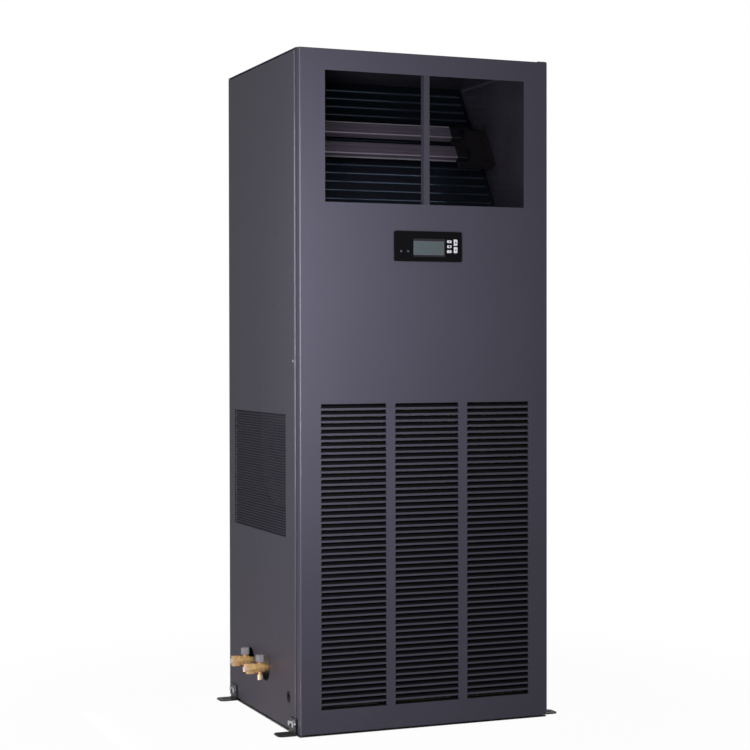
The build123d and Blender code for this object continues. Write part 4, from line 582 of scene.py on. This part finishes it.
def makePanelPlugs():
    low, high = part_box("left_side_panel")
    shape = bmesh.new()
    for back, height in panelPlugs["places"]:
        place = facing((-1, 0, 0), (low.x - panelPlugs["proud"] / 2, back, height))
        addStud(shape, panelPlugs, 12, place)
    pieceFrom(shape, "panelPlugs", finishes["black_plastic"], "cabinet")


makePanelPlugs()
print("panel plugs made")

# Display marks: two small indicator lenses on the bezel and plain marks on the buttons
indicators = {"radius": 0.0026, "taper": 0.7, "proud": 0.0005, "height": 1.2378, "places": (-0.0734, -0.0540),
              "dark": colourOf(70, 70, 78), "light": colourOf(88, 88, 94), "speckScale": 300.0,
              "roughness": 0.2}
buttonMarks = {
    "radius": 0.0022,
    "taper": 1.0,
    "proud": 0.0002,
    "marks": {  # each mark's sides and its turn in degrees
        "button_up": (3, 0),
        "button_down": (3, 180),
        "button_enter": (12, 0),
        "button_power": (16, 0),
        "button_silence": (4, 45),
    },
}


def makeIndicators():
    low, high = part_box("display_bezel")
    finish = Finish("indicatorLens")
    specks = finish.blend(finish.noise(indicators["speckScale"]), indicators["dark"], indicators["light"])
    lens = finish.shader(colour=specks, roughness=indicators["roughness"])
    shape = bmesh.new()
    for across in indicators["places"]:
        place = facing((0, -1, 0), (across, low.y - indicators["proud"] / 2, indicators["height"]))
        addStud(shape, indicators, 20, place)
    pieceFrom(shape, "indicatorLenses", lens, "door")


def makeButtonMark(button, sides, turn):
    low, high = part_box(button)
    middle = ((low.x + high.x) / 2, low.y - buttonMarks["proud"] / 2, (low.z + high.z) / 2)
    shape = bmesh.new()
    spin = Matrix.Rotation(math.radians(turn), 4, "Z")
    addStud(shape, buttonMarks, sides, facing((0, -1, 0), middle) @ spin)
    pieceFrom(shape, button + "Mark", finishes["bezel_plastic"], button)


makeIndicators()
for button, (sides, turn) in buttonMarks["marks"].items():
    makeButtonMark(button, sides, turn)
print("display marks made")

# Floor and background: white to the camera, with the cabinet's own soft shadow
ground = {"size": 14.0, "shade": (0.86, 0.86, 0.86), "nearWhiteness": 0.97, "near": 0.75, "far": 1.6}
backdrop = {"white": (1.0, 1.0, 1.0), "ambient": 0.11, "inMirrors": 0.46}


def seenDirectly(finish):  # 1 for what the camera sees itself or through glass, less in a mirror
    camera = finish.add("ShaderNodeLightPath", {}, {}, "Is Camera Ray")
    glass = finish.add("ShaderNodeLightPath", {}, {}, "Is Transmission Ray")
    mirror = finish.add("ShaderNodeLightPath", {}, {}, "Is Glossy Ray")
    return (camera + glass + mirror * backdrop["inMirrors"]).clipped()


def floorPaint():
    finish = Finish("paleFloor")
    low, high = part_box("top_cover")  # as wide and deep as the cabinet
    matt = finish.add("ShaderNodeBsdfDiffuse", {}, {"Color": ground["shade"]}, "BSDF")
    white = finish.add("ShaderNodeEmission", {}, {"Color": backdrop["white"], "Strength": 1.0}, "Emission")
    reach = finish.add("ShaderNodeVectorMath", {"operation": "LENGTH"}, {0: finish.place()}, "Value")
    fade = ((reach - ground["near"]) / (ground["far"] - ground["near"])).clipped()
    offSides, offEnds = outside(finish.axis("X"), low.x, high.x), outside(finish.axis("Y"), low.y, high.y)
    beside = offSides.either(offEnds)  # 0 under the cabinet, which stays dark
    whiteness = finish.spread(fade, ground["nearWhiteness"], 1.0) * beside
    factor = seenDirectly(finish) * whiteness
    return finish.close(finish.add("ShaderNodeMixShader", {}, {0: factor, 1: matt, 2: white}))


def makeGround():
    shape = bmesh.new()
    bmesh.ops.create_grid(shape, x_segments=1, y_segments=1, size=ground["size"])
    mesh = bpy.data.meshes.new("floor")
    shape.to_mesh(mesh)
    shape.free()
    floor = bpy.data.objects.new("floor", mesh)
    bpy.context.scene.collection.objects.link(floor)
    mesh.materials.append(floorPaint())


def makeWorld():
    finish = Finish("studio", bpy.data.worlds)
    strength = seenDirectly(finish) * (1.0 - backdrop["ambient"]) + backdrop["ambient"]
    sky = finish.add("ShaderNodeBackground", {}, {"Color": backdrop["white"], "Strength": strength})
    bpy.context.scene.world = finish.close(sky, "ShaderNodeOutputWorld")


makeGround()
makeWorld()
print("floor and background made")

# Lamps: a tall soft box close to the front left corner, a weak one far on the left, a wide one above,
# a thin strip in front for the coil and its tubes, and a small warm bounce beside the valves
lamps = {
    "keyLight": {"place": (-0.65, -1.00, 1.12), "aim": (-0.35, -0.30, 1.06), "size": (0.30, 1.1),
                 "watts": 11.4, "colour": (1.0, 1.0, 1.0)},
    "sideLight": {"place": (-2.2, 0.9, 1.2), "aim": (-0.35, 0.1, 0.9), "size": (0.6, 0.9),
                  "watts": 3.1, "colour": (0.90, 0.95, 1.0)},
    "topLight": {"place": (-0.2, -0.6, 3.4), "aim": (0.0, 0.0, 0.0), "size": (1.6, 1.6),
                 "watts": 9.0, "colour": (1.0, 1.0, 1.0)},
    "stripLight": {"place": (0.2, -2.4, 2.3), "aim": (0.0, 0.0, 1.55), "size": (2.4, 0.05),
                   "watts": 3.5, "colour": (1.0, 1.0, 1.0)},
    "warmBounce": {"place": (-0.80, -0.02, 0.02), "aim": (-0.35, -0.02, 0.06), "size": (0.5, 0.03),
                   "watts": 0.40, "colour": (1.0, 0.55, 0.60)},
}


def makeLamp(name, values):
    light = bpy.data.lights.new(name, "AREA")
    light.shape = "RECTANGLE"
    light.size, light.size_y = values["size"]
    light.energy = values["watts"]
    light.color = values["colour"]
    lamp = bpy.data.objects.new(name, light)
    bpy.context.scene.collection.objects.link(lamp)
    lamp.visible_camera = False
    lamp.location = values["place"]
    aim = Vector(values["aim"]) - Vector(values["place"])
    lamp.rotation_euler = aim.to_track_quat("-Z", "Y").to_euler()


for lampName, lampValues in lamps.items():
    makeLamp(lampName, lampValues)

# Camera: the photograph's own place and angle, turned in degrees
view = {"place": (-1.8579, -4.5543, 0.9856), "yaw": 21.9255, "tilt": 0.8354, "roll": 0.0865, "lens": 85.79,
        "sensor": 36.0, "reach": 60.0}


def makeCamera():
    camera = bpy.data.cameras.new("camera")
    camera.lens = view["lens"]
    camera.sensor_width = view["sensor"]
    camera.clip_end = view["reach"]
    holder = bpy.data.objects.new("camera", camera)
    bpy.context.scene.collection.objects.link(holder)
    yaw = Matrix.Rotation(math.radians(-view["yaw"]), 4, "Z")
    tilt = Matrix.Rotation(math.radians(90 - view["tilt"]), 4, "X")
    roll = Matrix.Rotation(math.radians(-view["roll"]), 4, "Z")
    holder.matrix_world = Matrix.Translation(view["place"]) @ yaw @ tilt @ roll
    bpy.context.scene.camera = holder


makeCamera()
bpy.context.scene.view_settings.view_transform = "Standard"
print("stage, lamps and camera ready")
